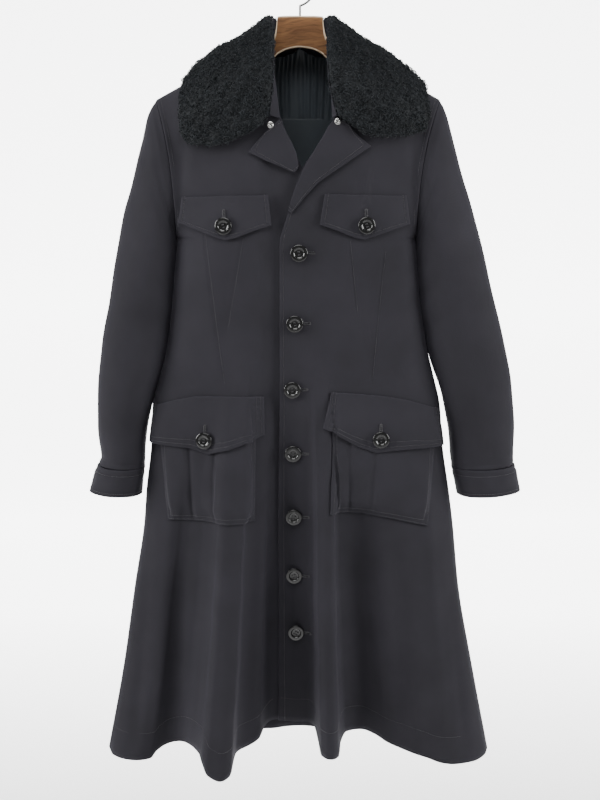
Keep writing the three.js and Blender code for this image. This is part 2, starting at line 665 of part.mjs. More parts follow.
// Interpolates the rows of an outline table, where u runs over the rows from 0 to 1
function alongTable(table, column, u) {
  const place = u * (table.length - 1);
  const i = Math.min(Math.floor(place), table.length - 2);
  return lerp(table[i][column], table[i + 1][column], place - i);
}

function flap(table, rise, endRise) {
  const columns = range((table.length - 1) * 2);
  const place = (u, q) => ({
    x: lerp(alongTable(table, 'topX', u), alongTable(table, 'lowX', u), q),
    z: lerp(alongTable(table, 'topZ', u), alongTable(table, 'lowZ', u), q),
  });
  const endFade = (u) => lerp(endRise, 1, smoothstep(Math.min(u, 1 - u), 0, 0.14));
  const out = (u, q) => ON_PANEL + curve(rise, 'q', 'out', q) * endFade(u);
  return layOnFront(columns, range(5), place, out, WALL + 0.4);
}

function pocket(side) {
  const size = HIP_POCKETS[side];
  const { pleats } = size;
  const place = (u, q) => ({
    x: lerp(lerp(size.innerTopX, size.outerTopX, u), lerp(size.innerLowX, size.outerLowX, u), q),
    z: lerp(lerp(size.innerTopZ, size.outerTopZ, u), lerp(size.innerLowZ, size.outerLowZ, u ** 2), q),
  });
  const out = (u, q) => {
    const inside = smoothstep(Math.min(u, 1 - u), 0, 0.08);
    const pleat = pleats.reduce((sum, at) => sum + Math.exp(-(((u - at) / 0.035) ** 2)), 0);
    const bulge = curve(POCKET_BULGE, 'q', 'out', q) * inside;
    return POCKET_OFF + Math.max(0, bulge - PLEAT_SINK * pleat * Math.min(1, bulge / 4));
  };
  const beside = pleats.flatMap((at) => [at - PLEAT_HALF, at, at + PLEAT_HALF]);
  const columns = [...POCKET_COLUMNS, ...beside].sort((a, b) => a - b);
  return layOnFront(columns, POCKET_ROWS, place, out, WALL);
}

function lapel(side) {
  const table = LAPELS[side];
  const place = (u, q) => ({
    x: lerp(alongTable(table, 'rollX', u), alongTable(table, 'edgeX', u), q),
    z: lerp(alongTable(table, 'rollZ', u), alongTable(table, 'edgeZ', u), q),
  });
  const out = (u, q) => ON_PANEL + LAPEL_RISE * q * Math.sin(Math.PI * clamp(u, 0.1, 0.9));
  return layOnFront(range((table.length - 1) * 2), range(4), place, out, WALL + 0.4);
}

// Lifts a point off the coat, up over the shoulders and out over the front and back
const LIFT_STEP = 0.7;
function liftOff(point, clearance) {
  const face = point.y < 0 ? 'front' : 'back';
  for (let i = 0; i < 80; i += 1) {
    const side = hand(point.x);
    const share = clamp(point.x / Math.abs(SHOULDER_X[side]), -0.98, 0.98);
    const drop = shoulderLine(share) - point.z;
    if (drop - neckDrop(face, share) < -clearance) return point;
    const [at, down] = locate(face, point.x, point.z);
    const surface = Math.abs(bodyPoint(face, at, down).y);
    const steep = clamp(1 - drop / SHOULDER_ROUND, 0, 1);
    const slack = clearance / Math.max(0.35, Math.sqrt(1 - steep ** 2));
    if (Math.abs(point.y) > surface + slack && drop > 0) return point;
    const out = FACES[face].sign * Math.sqrt(1 - steep ** 2);
    point.addScaledVector(vec(0, out, steep), LIFT_STEP);
  }
  return point;
}

const COLLAR_CLEARANCE = 6.4;  // between the fur's backing and the coat
const COLLAR_STEPS = 16;       // from a front end of the collar to the middle of the back
const COLLAR_ROWS = 6;

function collarPoint(table, side, s, zColumn) {
  const rows = table.map((row, i) => ({ ...row, s: i / (table.length - 1) }));
  return vec(curve(rows, 's', side, s), curve(rows, 's', 'y', s), curve(rows, 's', zColumn, s));
}

// Goes round the collar from the left front end by the back to the right front end
function aroundCollar(make) {
  const half = range(COLLAR_STEPS);
  return [
    ...half.map((s) => make('left', s)),
    ...half.slice(0, -1).toReversed().map((s) => make('right', s)),
  ];
}

function furCollar() {
  const rows = range(COLLAR_ROWS);
  const inner = aroundCollar((side, s) => {
    const roll = collarPoint(COLLAR_ROLL, side, s, 'z');
    const edge = collarPoint(COLLAR_EDGE, side, s, `${side}Z`);
    return rows.map((q) => liftOff(roll.clone().lerp(edge, q), COLLAR_CLEARANCE));
  });
  const normals = gridNormals(inner, false);
  const middle = normals[COLLAR_STEPS][Math.floor(COLLAR_ROWS / 2)];
  const flip = middle.y < 0 ? -1 : 1;
  const outer = inner.map((row, r) => row.map((point, c) => {
    const end = Math.min(r, inner.length - 1 - r) / 3;
    const thickness = curve(FUR_THICKNESS, 'q', 't', rows[c]) * lerp(0.45, 1, smoothstep(end, 0, 1));
    return point.clone().addScaledVector(normals[r][c], flip * thickness);
  }));
  return between(outer, inner);
}

// The cloth stand inside the fur, from the neck seam up to the roll
const NECK_SEAM = [
  { left: -31, right: 50, y: -79, z: -222 },
  { left: -35, right: 49, y: -77, z: -190 },
  { left: -41, right: 48, y: -72, z: -155 },
  { left: -50, right: 50, y: -47, z: -122 },
  { left: -56, right: 56, y: -16, z: -103 },
  { left: -55, right: 55, y: 14, z: -99 },
  { left: -46, right: 46, y: 36, z: -98 },
  { left: -26, right: 26, y: 50, z: -98 },
  { left: 0, right: 0, y: 54, z: -98 },
];
const NECK_AXIS_Y = -12;
const STAND_INSET = 0.8;      // the stand keeps this far inside the neckline

function collarStand() {
  const axis = vec(0, NECK_AXIS_Y, 0);
  const inset = (point) => {
    const toAxis = axis.clone().sub(point).setZ(0).normalize();
    return point.clone().addScaledVector(toAxis, STAND_INSET);
  };
  const grid = aroundCollar((side, s) => {
    const seam = collarPoint(NECK_SEAM, side, s, 'z');
    const roll = collarPoint(COLLAR_ROLL, side, s, 'z');
    return range(3).map((q) => inset(seam.clone().lerp(roll, q)));
  });
  return wall(grid, WALL, { facing: vec(0, 1, 0) });
}

// Facing and lining hang just inside the back
function insideBack(topZ, lowZ, depthAt) {
  const shares = range(20).map((k) => lerp(-LINING_HALF, LINING_HALF, k));
  const downAt = (share, z) => locate('back', share * 200, z)[1];
  const rows = range(3);
  const grid = (extra) => rows.map((q) => shares.map((share, c) => {
    const z = lerp(topZ(share), lowZ, q);
    const down = downAt(share, z);
    const inside = -(WALL + LINING_GAP + depthAt(c / 20) + extra);
    return bodyPoint('back', share, down).addScaledVector(outward('back', share, down), inside);
  }));
  return between(grid(0), grid(1));
}

function backFacing() {
  const top = (share) => shoulderLine(share) - neckDrop('back', share) - 16 - 60 * Math.abs(share);
  return insideBack(top, FACING_SEAM_Z, () => 0);
}

function backLining() {
  const fold = (u) => LINING_PLEAT_DEPTH * (1 - Math.cos(2 * Math.PI * LINING_PLEATS * u));
  return insideBack(() => FACING_SEAM_Z - 0.6, LINING_LOW_Z, fold);
}

// A turned button on its shank: a raised rim round a shallow dish. It stands on XY, face up.
function buttonGeometry(radius, height) {
  const profile = [
    [0, 0], [radius * 0.3, 0], [radius * 0.3, height * 0.4], [radius, height * 0.5],
    [radius, height * 0.85], [radius * 0.88, height], [radius * 0.7, height * 0.82], [0, height * 0.76],
  ];
  const lathe = new THREE.LatheGeometry(profile.map(([x, y]) => new THREE.Vector2(x, y)), 12);
  return lathe.rotateX(Math.PI / 2);
}

function placeOnFront(mesh, x, z, out) {
  const [share, down] = locate('front', x, z);
  const normal = outward('front', share, down);
  mesh.quaternion.setFromUnitVectors(vec(0, 0, 1), normal);
  mesh.position.copy(bodyPoint('front', share, down)).addScaledVector(normal, out);
  return mesh;
}

// The wooden body of the hanger: rounded sections along its length
function hangerBody() {
  const ROUND = [[-0.55, 1], [0.55, 1], [1, 0.7], [1, 0.28], [0.6, 0], [-0.6, 0], [-1, 0.28], [-1, 0.7]];
  const points = HANGER_SECTIONS.flatMap(({ x, top, low, half }) => (
    ROUND.map(([y, z]) => vec(x, y * half, lerp(low, top, z)))));
  const sides = ROUND.length;
  const count = HANGER_SECTIONS.length;
  const faces = [];
  for (let s = 0; s < count - 1; s += 1) {
    for (let k = 0; k < sides; k += 1) {
      const [a, b] = [s * sides + k, s * sides + ((k + 1) % sides)];
      faces.push(a, b, b + sides, a, b + sides, a + sides);
    }
  }
  for (let k = 1; k < sides - 1; k += 1) {
    const end = (count - 1) * sides;
    faces.push(0, k + 1, k, end, end + k, end + k + 1);
  }
  return solid(points, faces);
}

// The hook: a straight stem, then a wire bent round the seat at the origin
class HookPath extends THREE.Curve {
  constructor(stemLow) {
    super();
    this.stemLow = stemLow;
    this.radius = HOOK_RADIUS + WIRE_RADIUS;
    this.bendStart = -2.1 * this.radius;
  }

  getPoint(t, target = new THREE.Vector3()) {
    const stemShare = 0.2;
    if (t < stemShare) return target.set(0, 0, lerp(this.stemLow, this.bendStart, t / stemShare));
    const turn = (t - stemShare) / (1 - stemShare);
    const angle = lerp(-Math.PI / 2, 1.04 * Math.PI, turn);
    const ease2 = smoothstep(turn, 0, 0.3);
    const centre = -HOOK_RADIUS;
    const onArcX = this.radius * Math.cos(angle);
    const onArcZ = centre + this.radius * Math.sin(angle);
    const startZ = lerp(this.bendStart, onArcZ, ease2);
    return target.set(onArcX * ease2 ** 0.6, 0, turn < 0.3 ? startZ : onArcZ);
  }
}

function hook() {
  const section = new THREE.Shape();
  section.absarc(0, 0, WIRE_RADIUS, 0, Math.PI * 2);
  return new THREE.ExtrudeGeometry(section, {
    curveSegments: 3, steps: 30, extrudePath: new HookPath(HANGER_SECTIONS[9].top + 0.3),
  });
}

// The assembly
const coat = new THREE.Group();

function add(name, geometry, look) {
  const mesh = new THREE.Mesh(geometry, new THREE.MeshStandardMaterial(look));
  mesh.name = name;
  coat.add(mesh);
  return mesh;
}

add('back_panel', backPanel(), CLOTH);
add('front_right', frontPanel('lower'), CLOTH);
add('front_left', frontPanel('upper'), CLOTH);

const WEARER = { left: 'right', right: 'left' };  // the picture's left is the wearer's right
for (const side of ['left', 'right']) {
  const name = WEARER[side];
  add(`sleeve_${name}`, sleeve(side), CLOTH);
  add(`cuff_${name}`, cuff(side), CLOTH);
  add(`lapel_${name}`, lapel(side), CLOTH);
  add(`chest_flap_${name}`, flap(CHEST_FLAPS[side], CHEST_FLAP_RISE, 1), CLOTH);
  add(`hip_flap_${name}`, flap(HIP_FLAPS[side], HIP_FLAP_RISE, FLAP_END_RISE), CLOTH);
  add(`hip_pocket_${name}`, pocket(side), CLOTH);
}

add('collar_stand', collarStand(), CLOTH);
add('fur_collar', furCollar(), FUR);
add('back_facing', backFacing(), SATIN);
add('back_lining', backLining(), SATIN);

FRONT_BUTTONS.forEach(({ x, z }, i) => {
  const mesh = add(`front_button_${i + 1}`, buttonGeometry(BUTTON_RADIUS, BUTTON_HEIGHT), BUTTON);
  placeOnFront(mesh, x, z, FRONT_BUTTON_LIFT);
});
for (const side of ['left', 'right']) {
  const name = WEARER[side];
  const chest = add(`chest_button_${name}`, buttonGeometry(BUTTON_RADIUS, BUTTON_HEIGHT), BUTTON);
  placeOnFront(chest, CHEST_BUTTONS[side].x, CHEST_BUTTONS[side].z, ON_PANEL + CHEST_BUTTON_LIFT);
  const hip = add(`hip_button_${name}`, buttonGeometry(BUTTON_RADIUS, BUTTON_HEIGHT), BUTTON);
  placeOnFront(hip, HIP_BUTTONS[side].x, HIP_BUTTONS[side].z, ON_PANEL + HIP_BUTTON_LIFT);
  const snap = add(`collar_snap_${name}`, buttonGeometry(SNAP_RADIUS, SNAP_HEIGHT), STEEL);
  placeOnFront(snap, SNAPS[side].x, SNAPS[side].z, ON_PANEL + SNAP_LIFT[side]);
}

add('hanger_body', hangerBody(), WOOD);
add('hanger_hook', hook(), STEEL);

export default coat;
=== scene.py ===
# %% [markdown]
# # A long military coat on its hanger
# The coat is black twill with a curly fur collar. It hangs on a wooden hanger whose hook
# seats at the origin. Every piece is a closed wall of cloth laid on one body surface, as a
# tailor drapes pieces on a stand, so neighbours share their seams.

# %% Start
import math

import bmesh
import bpy
import numpy as np
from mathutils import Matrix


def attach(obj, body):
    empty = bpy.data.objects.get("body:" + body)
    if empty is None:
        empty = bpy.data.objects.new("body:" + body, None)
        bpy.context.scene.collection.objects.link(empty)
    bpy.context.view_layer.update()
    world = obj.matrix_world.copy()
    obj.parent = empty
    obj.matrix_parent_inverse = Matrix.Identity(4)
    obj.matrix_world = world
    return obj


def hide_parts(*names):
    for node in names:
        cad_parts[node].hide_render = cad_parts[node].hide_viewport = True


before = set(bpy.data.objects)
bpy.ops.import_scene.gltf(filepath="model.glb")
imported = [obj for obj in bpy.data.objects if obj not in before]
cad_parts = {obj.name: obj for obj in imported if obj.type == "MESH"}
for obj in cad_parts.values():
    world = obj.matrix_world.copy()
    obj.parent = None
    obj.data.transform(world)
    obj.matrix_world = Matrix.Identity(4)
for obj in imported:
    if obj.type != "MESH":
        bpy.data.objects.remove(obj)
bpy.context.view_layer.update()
MM = 0.001

# %% [markdown]
# ## Camera
# The photograph looks nine degrees down at the coat from two metres away. The camera comes
# first, because every other choice is judged through it.

# %% Camera
CAMERA_PLACE = (0, -2.0741, -0.3309)
CAMERA_PITCH = math.radians(9)
camera = bpy.data.objects.new("camera", bpy.data.cameras.new("camera"))
bpy.context.scene.collection.objects.link(camera)
camera.location = CAMERA_PLACE
camera.rotation_euler = (math.pi / 2 - CAMERA_PITCH, 0, 0)
camera.data.sensor_fit = "VERTICAL"
camera.data.sensor_height = 36
camera.data.lens = 59.06
bpy.context.scene.camera = camera
print("camera at", CAMERA_PLACE)

# %% [markdown]
# ## Node trees as expressions
# A shader or a geometry tree is easier to read as arithmetic. `Nodes` adds any node, and
# `Link` wraps one output so that `1 - mask * 0.4` adds the Math nodes it needs.

# %% Node helpers
class Link:
    """One output of a node. Operators on it add Math nodes."""

    def __init__(self, nodes, socket):
        self.nodes, self.socket = nodes, socket

    def maths(self, operation, *others):
        return self.nodes.add("ShaderNodeMath", {"operation": operation}, dict(enumerate([self, *others])))

    def turned(self, operation, other):
        return self.nodes.add("ShaderNodeMath", {"operation": operation}, {0: other, 1: self})

    def __add__(self, other):
        return self.maths("ADD", other)

    def __sub__(self, other):
        return self.maths("SUBTRACT", other)

    def __mul__(self, other):
        return self.maths("MULTIPLY", other)

    def __pow__(self, other):
        return self.maths("POWER", other)

    def __rsub__(self, other):
        return self.turned("SUBTRACT", other)

    __radd__, __rmul__ = __add__, __mul__


class Nodes:
    """A node tree under construction."""

    def __init__(self, tree):
        self.tree = tree
        tree.nodes.clear()

    def add(self, kind, settings=None, values=None, output=0):
        node = self.tree.nodes.new(kind)
        for name, value in (settings or {}).items():
            setattr(node, name, value)
        for key, value in (values or {}).items():
            if isinstance(value, Link):
                self.tree.links.new(value.socket, node.inputs[key])
            else:
                node.inputs[key].default_value = value
        return Link(self, node.outputs[output]) if node.outputs else None

    def noise(self, place, scale, detail=3.0, roughness=0.55):
        values = {"Vector": place, "Scale": scale, "Detail": detail, "Roughness": roughness}
        return self.add("ShaderNodeTexNoise", None, values)

    def stretched(self, place, factors):
        return self.add("ShaderNodeVectorMath", {"operation": "MULTIPLY"}, {0: place, 1: factors})

    def blend(self, factor, first, second):
        values = {0: factor, 6: first, 7: second}
        return self.add("ShaderNodeMix", {"data_type": "RGBA"}, values, output=2)

    def bump(self, height, distance, strength=1.0, normal=None):
        values = {"Height": height, "Distance": distance, "Strength": strength}
        if normal is not None:
            values["Normal"] = normal
        return self.add("ShaderNodeBump", None, values)


def new_material(name):
    material = bpy.data.materials.new(name)
    material.use_nodes = True
    return material, Nodes(material.node_tree)


def finish_material(nodes, values):
    surface = nodes.add("ShaderNodeBsdfPrincipled", None, values)
    nodes.add("ShaderNodeOutputMaterial", None, {"Surface": surface})


def grey(level, tint=(1, 1, 1)):
    return (*(level * part for part in tint), 1)


print("node helpers ready")

# %% [markdown]
# ## Black twill
# The cloth is a matt cotton twill: fine diagonal ribs, a little lint, and edges rubbed
# paler. The ribs follow each piece's own UV map, in metres along the cloth, so they turn
# with the piece as real grain does. Larger unevenness follows the object's place.

# %% Black twill
TWILL_PITCH = 0.0016
CLOTH_DARK, CLOTH_LIGHT, CLOTH_WORN = 0.0125, 0.0195, 0.023
COOL = (1.0, 0.94, 1.2)
GREENISH = (0.8, 1.0, 1.2)


def twill(name, dark, light, worn):
    material, n = new_material(name)
    place = n.add("ShaderNodeTexCoord", output=3)
    cloth = n.add("ShaderNodeTexCoord", output=2)
    along = n.add("ShaderNodeSeparateXYZ", None, {0: cloth})
    across = Link(n, along.socket.node.outputs[1])
    ribs = ((along + across * 0.8) * (2 * math.pi / TWILL_PITCH)).maths("SINE")
    cloudy = n.noise(place, 9.0, 4.0)
    lint = n.noise(n.stretched(cloth, (900, 500, 1)), 1.0, 2.0)
    edge = n.add("ShaderNodeAttribute", {"attribute_name": "edge"}, output=2)
    rubbed = (edge * n.noise(place, 60.0)) ** 1.4
    shade = n.add("ShaderNodeMapRange", None, {0: cloudy * 0.75 + lint * 0.25, 1: 0.3, 2: 0.7})
    colour = n.blend(shade, grey(dark, COOL), grey(light, COOL))
    colour = n.blend(rubbed, colour, grey(worn, COOL))
    relief = n.bump(n.noise(place, 55.0, 3.0), 0.0008, 0.3)
    relief = n.bump(n.noise(place, 380.0, 2.0), 0.00025, 0.35, relief)
    relief = n.bump(ribs, 0.00012, 0.35, relief)
    finish_material(n, {
        "Base Color": colour, "Roughness": 0.78 + lint * 0.16, "Normal": relief,
        "Sheen Weight": 0.08, "Sheen Roughness": 0.45, "Sheen Tint": grey(0.5, COOL),
        "Specular IOR Level": 0.2,
    })
    return material


black_twill = twill("black_twill", CLOTH_DARK, CLOTH_LIGHT, CLOTH_WORN)
print("twill ribs every", TWILL_PITCH * 1000, "mm")

# %% [markdown]
# ## Other finishes
# Fur is near black, with a shine on its curls. The lining is satin, whose threads run down
# the cloth. Buttons are polished horn-like plastic. The hanger's lacquer is worn through to
# pale wood along its edges. Each is one short function, since each needs its own maths.

# %% Fur, satin and thread
def fur_material():
    material, n = new_material("black_fur")
    place = n.add("ShaderNodeTexCoord", output=3)
    tone = n.add("ShaderNodeAttribute", {"attribute_name": "tone"}, output=2)
    patches = n.noise(place, 32.0, 3.0)
    colour = n.blend(tone * 0.5 + patches * 0.5, grey(0.0045, GREENISH), grey(0.019, GREENISH))
    relief = n.bump(n.noise(place, 420.0, 2.0), 0.0006, 0.6)
    finish_material(n, {
        "Base Color": colour, "Roughness": 0.58 + patches * 0.2, "Normal": relief,
        "Sheen Weight": 0.05, "Sheen Roughness": 0.4, "Specular IOR Level": 0.22,
    })
    return material


def satin_material():
    material, n = new_material("dark_satin")
    place = n.add("ShaderNodeTexCoord", output=3)
    cloth = n.add("ShaderNodeTexCoord", output=2)
    threads = n.noise(n.stretched(cloth, (1600, 60, 1)), 1.0, 2.0)
    cloudy = n.noise(place, 14.0)
    colour = n.blend(cloudy, grey(0.03, GREENISH), grey(0.06, GREENISH))
    finish_material(n, {
        "Base Color": colour, "Roughness": 0.3 + threads * 0.14, "Normal": n.bump(threads, 0.0001, 0.5),
        "Sheen Weight": 0.1, "Specular IOR Level": 0.6, "Anisotropic": 0.35,
    })
    return material


def thread_material():
    material, n = new_material("black_thread")
    place = n.add("ShaderNodeTexCoord", output=3)
    twist = n.noise(place, 2600.0, 1.0)
    finish_material(n, {
        "Base Color": n.blend(twist, grey(0.008, COOL), grey(0.018, COOL)),
        "Roughness": 0.55, "Normal": n.bump(twist, 0.0001, 0.6), "Sheen Weight": 0.2,
    })
    return material


black_fur, dark_satin, black_thread = fur_material(), satin_material(), thread_material()
print("fur, satin and thread made")

# %% Buttons, metal and wood
def button_material():
    material, n = new_material("polished_button")
    place = n.add("ShaderNodeTexCoord", output=3)
    swirl = n.noise(n.stretched(place, (90, 90, 40)), 1.0, 4.0)
    scratches = n.noise(place, 900.0, 2.0)
    finish_material(n, {
        "Base Color": n.blend(swirl ** 2, grey(0.003), grey(0.009)),
        "Roughness": 0.06 + scratches * 0.1, "Normal": n.bump(scratches, 0.00005, 0.4),
        "Coat Weight": 0.5, "Coat Roughness": 0.04, "Specular IOR Level": 0.5,
    })
    return material


def metal_material(name, level, roughness, dull):
    material, n = new_material(name)
    place = n.add("ShaderNodeTexCoord", output=3)
    tarnish = n.noise(place, 420.0, 4.0)
    finish_material(n, {
        "Base Color": n.blend(tarnish ** 1.5, grey(level, (1, 0.99, 0.96)), grey(level * dull)),
        "Metallic": 1.0, "Roughness": roughness + tarnish * 0.2,
        "Normal": n.bump(tarnish, 0.00006, 0.5),
    })
    return material


def wood_material():
    material, n = new_material("lacquered_wood")
    place = n.add("ShaderNodeTexCoord", output=3)
    warped = n.add("ShaderNodeVectorMath", {"operation": "MULTIPLY_ADD"},
                   {0: n.stretched(n.noise(place, 7.0), (0.04, 0.04, 0.06)), 1: (1, 1, 1), 2: place})
    rings = n.noise(n.stretched(warped, (9, 60, 170)), 1.0, 5.0, 0.65)
    pores = n.noise(n.stretched(place, (60, 500, 900)), 1.0, 2.0)
    stain = n.noise(place, 22.0, 3.0)
    wood = n.blend(n.add("ShaderNodeMapRange", None, {0: rings, 1: 0.32, 2: 0.68}),
                   (0.1, 0.04, 0.013, 1), (0.245, 0.118, 0.045, 1))
    wood = n.blend((1 - n.add("ShaderNodeMapRange", None, {0: pores, 1: 0.3, 2: 0.5})) * 0.5, wood,
                   (0.05, 0.02, 0.008, 1))
    wood = n.blend(n.add("ShaderNodeMapRange", None, {0: stain, 1: 0.55, 2: 0.75}) * 0.35, wood,
                   (0.07, 0.028, 0.01, 1))
    edge = n.add("ShaderNodeAttribute", {"attribute_name": "edge"}, output=2)
    worn = edge * (0.75 + n.noise(place, 70.0) * 0.5)
    bare = n.add("ShaderNodeMapRange", None, {0: worn, 1: 0.45, 2: 0.8})
    finish_material(n, {
        "Base Color": n.blend(bare, wood, (0.78, 0.62, 0.44, 1)),
        "Roughness": 0.5 + rings * 0.2, "Normal": n.bump(pores, 0.0002, 0.35),
        "Coat Weight": 0.1 - bare * 0.1, "Coat Roughness": 0.2, "Specular IOR Level": 0.25,
    })
    return material


polished_button, lacquered_wood = button_material(), wood_material()
nickel = metal_material("worn_nickel", 0.6, 0.14, 0.2)
hook_steel = metal_material("hook_steel", 0.2, 0.3, 0.4)
print("buttons, metal and wood made")

# %% [markdown]
# ## The body surface
# One function gives the coat's surface from two numbers. `share` runs from -1 at the
# photograph's left side seam to 1 at its right, and `down` from 0 at the shoulder to 1 at
# the underarm and 2 at the hem. Tables of real sizes, in millimetres, steer it. The curve
# through a table never overshoots its rows, so a waist stays where the table has it.

# %% Curves through tables
def table(names, rows):
    """A table of named columns."""
    return dict(zip(names.split(), np.array(rows, float).T))


def curve(rows, key, column, at):
    """A smooth curve through the rows of a table that never overshoots them."""
    order = np.argsort(rows[key])
    place, value = rows[key][order], rows[column][order]
    slope = np.diff(value) / np.diff(place)
    before, after = slope[:-1], slope[1:]
    total = np.where(before * after > 0, before + after, 1)
    inner = np.where(before * after > 0, 2 * before * after / total, 0)
    tangent = np.concatenate([slope[:1], inner, slope[-1:]])
    at = np.clip(at, place[0], place[-1])
    i = np.clip(np.searchsorted(place, at, side="right") - 1, 0, len(place) - 2)
    width = place[i + 1] - place[i]
    t = (at - place[i]) / width
    return (value[i] * (1 + 2 * t) * (1 - t) ** 2 + value[i + 1] * (3 - 2 * t) * t ** 2
            + width * (tangent[i] * t * (1 - t) ** 2 - tangent[i + 1] * (1 - t) * t ** 2))


def smoothstep(at, low, high):
    t = np.clip((at - low) / (high - low), 0, 1)
    return t * t * (3 - 2 * t)


def mix(a, b, t):
    return a + (b - a) * t


NECK_Z, NECK_X, SHOULDER_Z = -100.5, 58, -190
UNDERARM_Z, HEM_Z, FLARE_Z, FLARE_POWER, EDGE_PULL = -400, -1245, -610, 1.15, 14
SHOULDER_ROUND, ARMHOLE_DEPTH, ARMHOLE_CURVE, BACK_NECK_DROP = 70, 53, 2.6, 32
SHOULDER_X = {-1: -221, 1: 215}
WALL, DOUBLE_WALL, ON_PANEL = 2.0, 2.4, 0.75

OUTLINE = table("z left right square", [
    (-400, -192, 180, 2.9), (-432, -195, 183, 2.8), (-500, -202, 190, 2.6), (-575, -212, 202, 2.5),
    (-620, -224, 213, 2.4), (-668, -236, 224, 2.4), (-730, -239, 229, 2.4), (-802, -248, 240, 2.4),
    (-860, -253, 248, 2.4), (-964, -270, 259, 2.3), (-1100, -291, 284, 2.2), (-1245, -319, 313, 2.2),
])
MIDDLE = table("z front back", [
    (-65, 70, 62), (-216, 77, 66), (-300, 78, 68), (-422, 74, 64), (-530, 67, 56),
    (-635, 61, 57), (-740, 53, 64), (-845, 43, 71), (-1045, 23, 80), (-1245, 6, 84),
])
FRONT_HEM = table("x y z", [
    (-319, 0, -1245), (-311, -12, -1254), (-289, -26, -1256), (-262, -34, -1254), (-246, -33, -1251),
    (-236, -29, -1240), (-220, -25, -1231), (-198, -31, -1224), (-178, -50, -1222), (-163, -76, -1223),
    (-156, -94, -1233), (-147, -104, -1249), (-128, -105, -1257), (-112, -99, -1250), (-109, -78, -1241),
    (-104, -50, -1234), (-88, -36, -1231), (-64, -29, -1221), (-37, -8, -1203), (-11, -3, -1205),
    (12, -4, -1202), (22, -16, -1204), (28, -44, -1215), (35, -70, -1230), (52, -78, -1232),
    (63, -70, -1231), (67, -42, -1219), (78, -19, -1211), (100, -12, -1212), (122, -19, -1216),
    (144, -30, -1225), (174, -41, -1233), (204, -48, -1241), (230, -50, -1251), (252, -47, -1255),
    (285, -34, -1256), (307, -15, -1252), (313, 0, -1247),
])
BACK_HEM = table("x y z", [
    (-319, 0, -1245), (-312, 14, -1247), (-292, 38, -1252), (-262, 58, -1254), (-232, 50, -1247),
    (-204, 42, -1240), (-176, 62, -1244), (-150, 100, -1256), (-126, 112, -1260), (-104, 90, -1252),
    (-80, 60, -1240), (-50, 58, -1237), (-24, 76, -1241), (0, 84, -1243), (26, 72, -1240),
    (54, 56, -1236), (82, 66, -1242), (106, 98, -1255), (128, 113, -1260), (152, 92, -1252),
    (178, 56, -1240), (208, 44, -1238), (238, 56, -1248), (266, 56, -1254), (290, 34, -1252),
    (307, 12, -1248), (313, 0, -1247),
])
FRONT_EDGE = table("z lower upper", [
    (-100.5, -58, 58), (-125, -49, 51), (-150, -43, 49), (-187, -36, 50), (-216, -30, 52),
    (-300, 5, 1), (-345, 20, -14), (-368, 25, -20), (-410, 28, -31), (-1260, 28, -32),
])
FACES = {"front": (-1, FRONT_HEM), "back": (1, BACK_HEM)}
print("hem rows", len(FRONT_HEM["x"]), "front,", len(BACK_HEM["x"]), "back")

# %% Points on the body
NECK_SHARE = NECK_X / abs(SHOULDER_X[-1])
SHOULDER_RISE = (NECK_Z - SHOULDER_Z) / (1 - NECK_SHARE)


def ease(down):
    return (1 - np.cos(np.pi * down)) / 2


def by_side(share, left, right):
    return np.where(share < 0, left, right)


def shoulder_line(share):
    return SHOULDER_Z + (1 - np.abs(share)) * SHOULDER_RISE


def neck_drop(face, share):
    in_neck = np.clip(1 - (share / NECK_SHARE) ** 2, 0, 1)
    return BACK_NECK_DROP * in_neck ** 0.6 if face == "back" else 0 * in_neck


def fullness(share, square):
    return np.maximum(0, 1 - np.abs(share) ** square) ** (1 / square)


def armhole(side, turn, sign):
    """Points of an armhole: turn is 0 at the shoulder, 1 at the underarm."""
    side_x = OUTLINE["left" if side < 0 else "right"][0]
    reach = np.abs(np.cos(np.pi * turn / 2)) ** (2 * ARMHOLE_CURVE)
    return np.stack([side_x + (SHOULDER_X[side] - side_x) * reach,
                     sign * ARMHOLE_DEPTH * np.sin(np.pi * turn),
                     SHOULDER_Z + (UNDERARM_Z - SHOULDER_Z) * ease(turn)], -1)


def body(face, share, down):
    """The point of a face at a share of its width and a way down, in millimetres."""
    share, down = np.broadcast_arrays(np.asarray(share, float), np.asarray(down, float))
    sign, hem = FACES[face]
    turn = np.clip(down, 0, 1)
    edge = np.where((share < 0)[..., None], armhole(-1, turn, sign), armhole(1, turn, sign))
    line = shoulder_line(share)
    start = line - neck_drop(face, share)
    z = start + (UNDERARM_Z - start) * ease(turn)
    rounded = np.sqrt(np.maximum(0, 1 - (1 - np.minimum((line - z) / SHOULDER_ROUND, 1)) ** 2))
    full = fullness(share, OUTLINE["square"][0])
    middle = sign * curve(MIDDLE, "z", face, z) * rounded
    near_edge = np.abs(share) ** EDGE_PULL
    upper_y = edge[..., 1] * (1 - full) * near_edge + middle * full
    upper = np.stack([np.abs(share) * edge[..., 0], upper_y, z], -1)
    flat = UNDERARM_Z + (HEM_Z - UNDERARM_Z) * (np.maximum(down, 1) - 1)
    full = fullness(share, curve(OUTLINE, "z", "square", flat))
    hem_x = np.abs(share) * by_side(share, OUTLINE["left"][-1], OUTLINE["right"][-1])
    plain_hem = sign * MIDDLE[face][-1] * fullness(share, OUTLINE["square"][-1])
    opened = np.clip((FLARE_Z - flat) / (FLARE_Z - HEM_Z), 0, 1) ** FLARE_POWER
    width = by_side(share, curve(OUTLINE, "z", "left", flat), curve(OUTLINE, "z", "right", flat))
    lower = np.stack([
        np.abs(share) * width,
        sign * curve(MIDDLE, "z", face, flat) * full + (curve(hem, "x", "y", hem_x) - plain_hem) * opened,
        flat + (curve(hem, "x", "z", hem_x) - HEM_Z) * opened,
    ], -1)
    return np.where((down <= 1)[..., None], upper, lower)


def unit(vectors):
    return vectors / np.maximum(np.linalg.norm(vectors, axis=-1, keepdims=True), 1e-9)


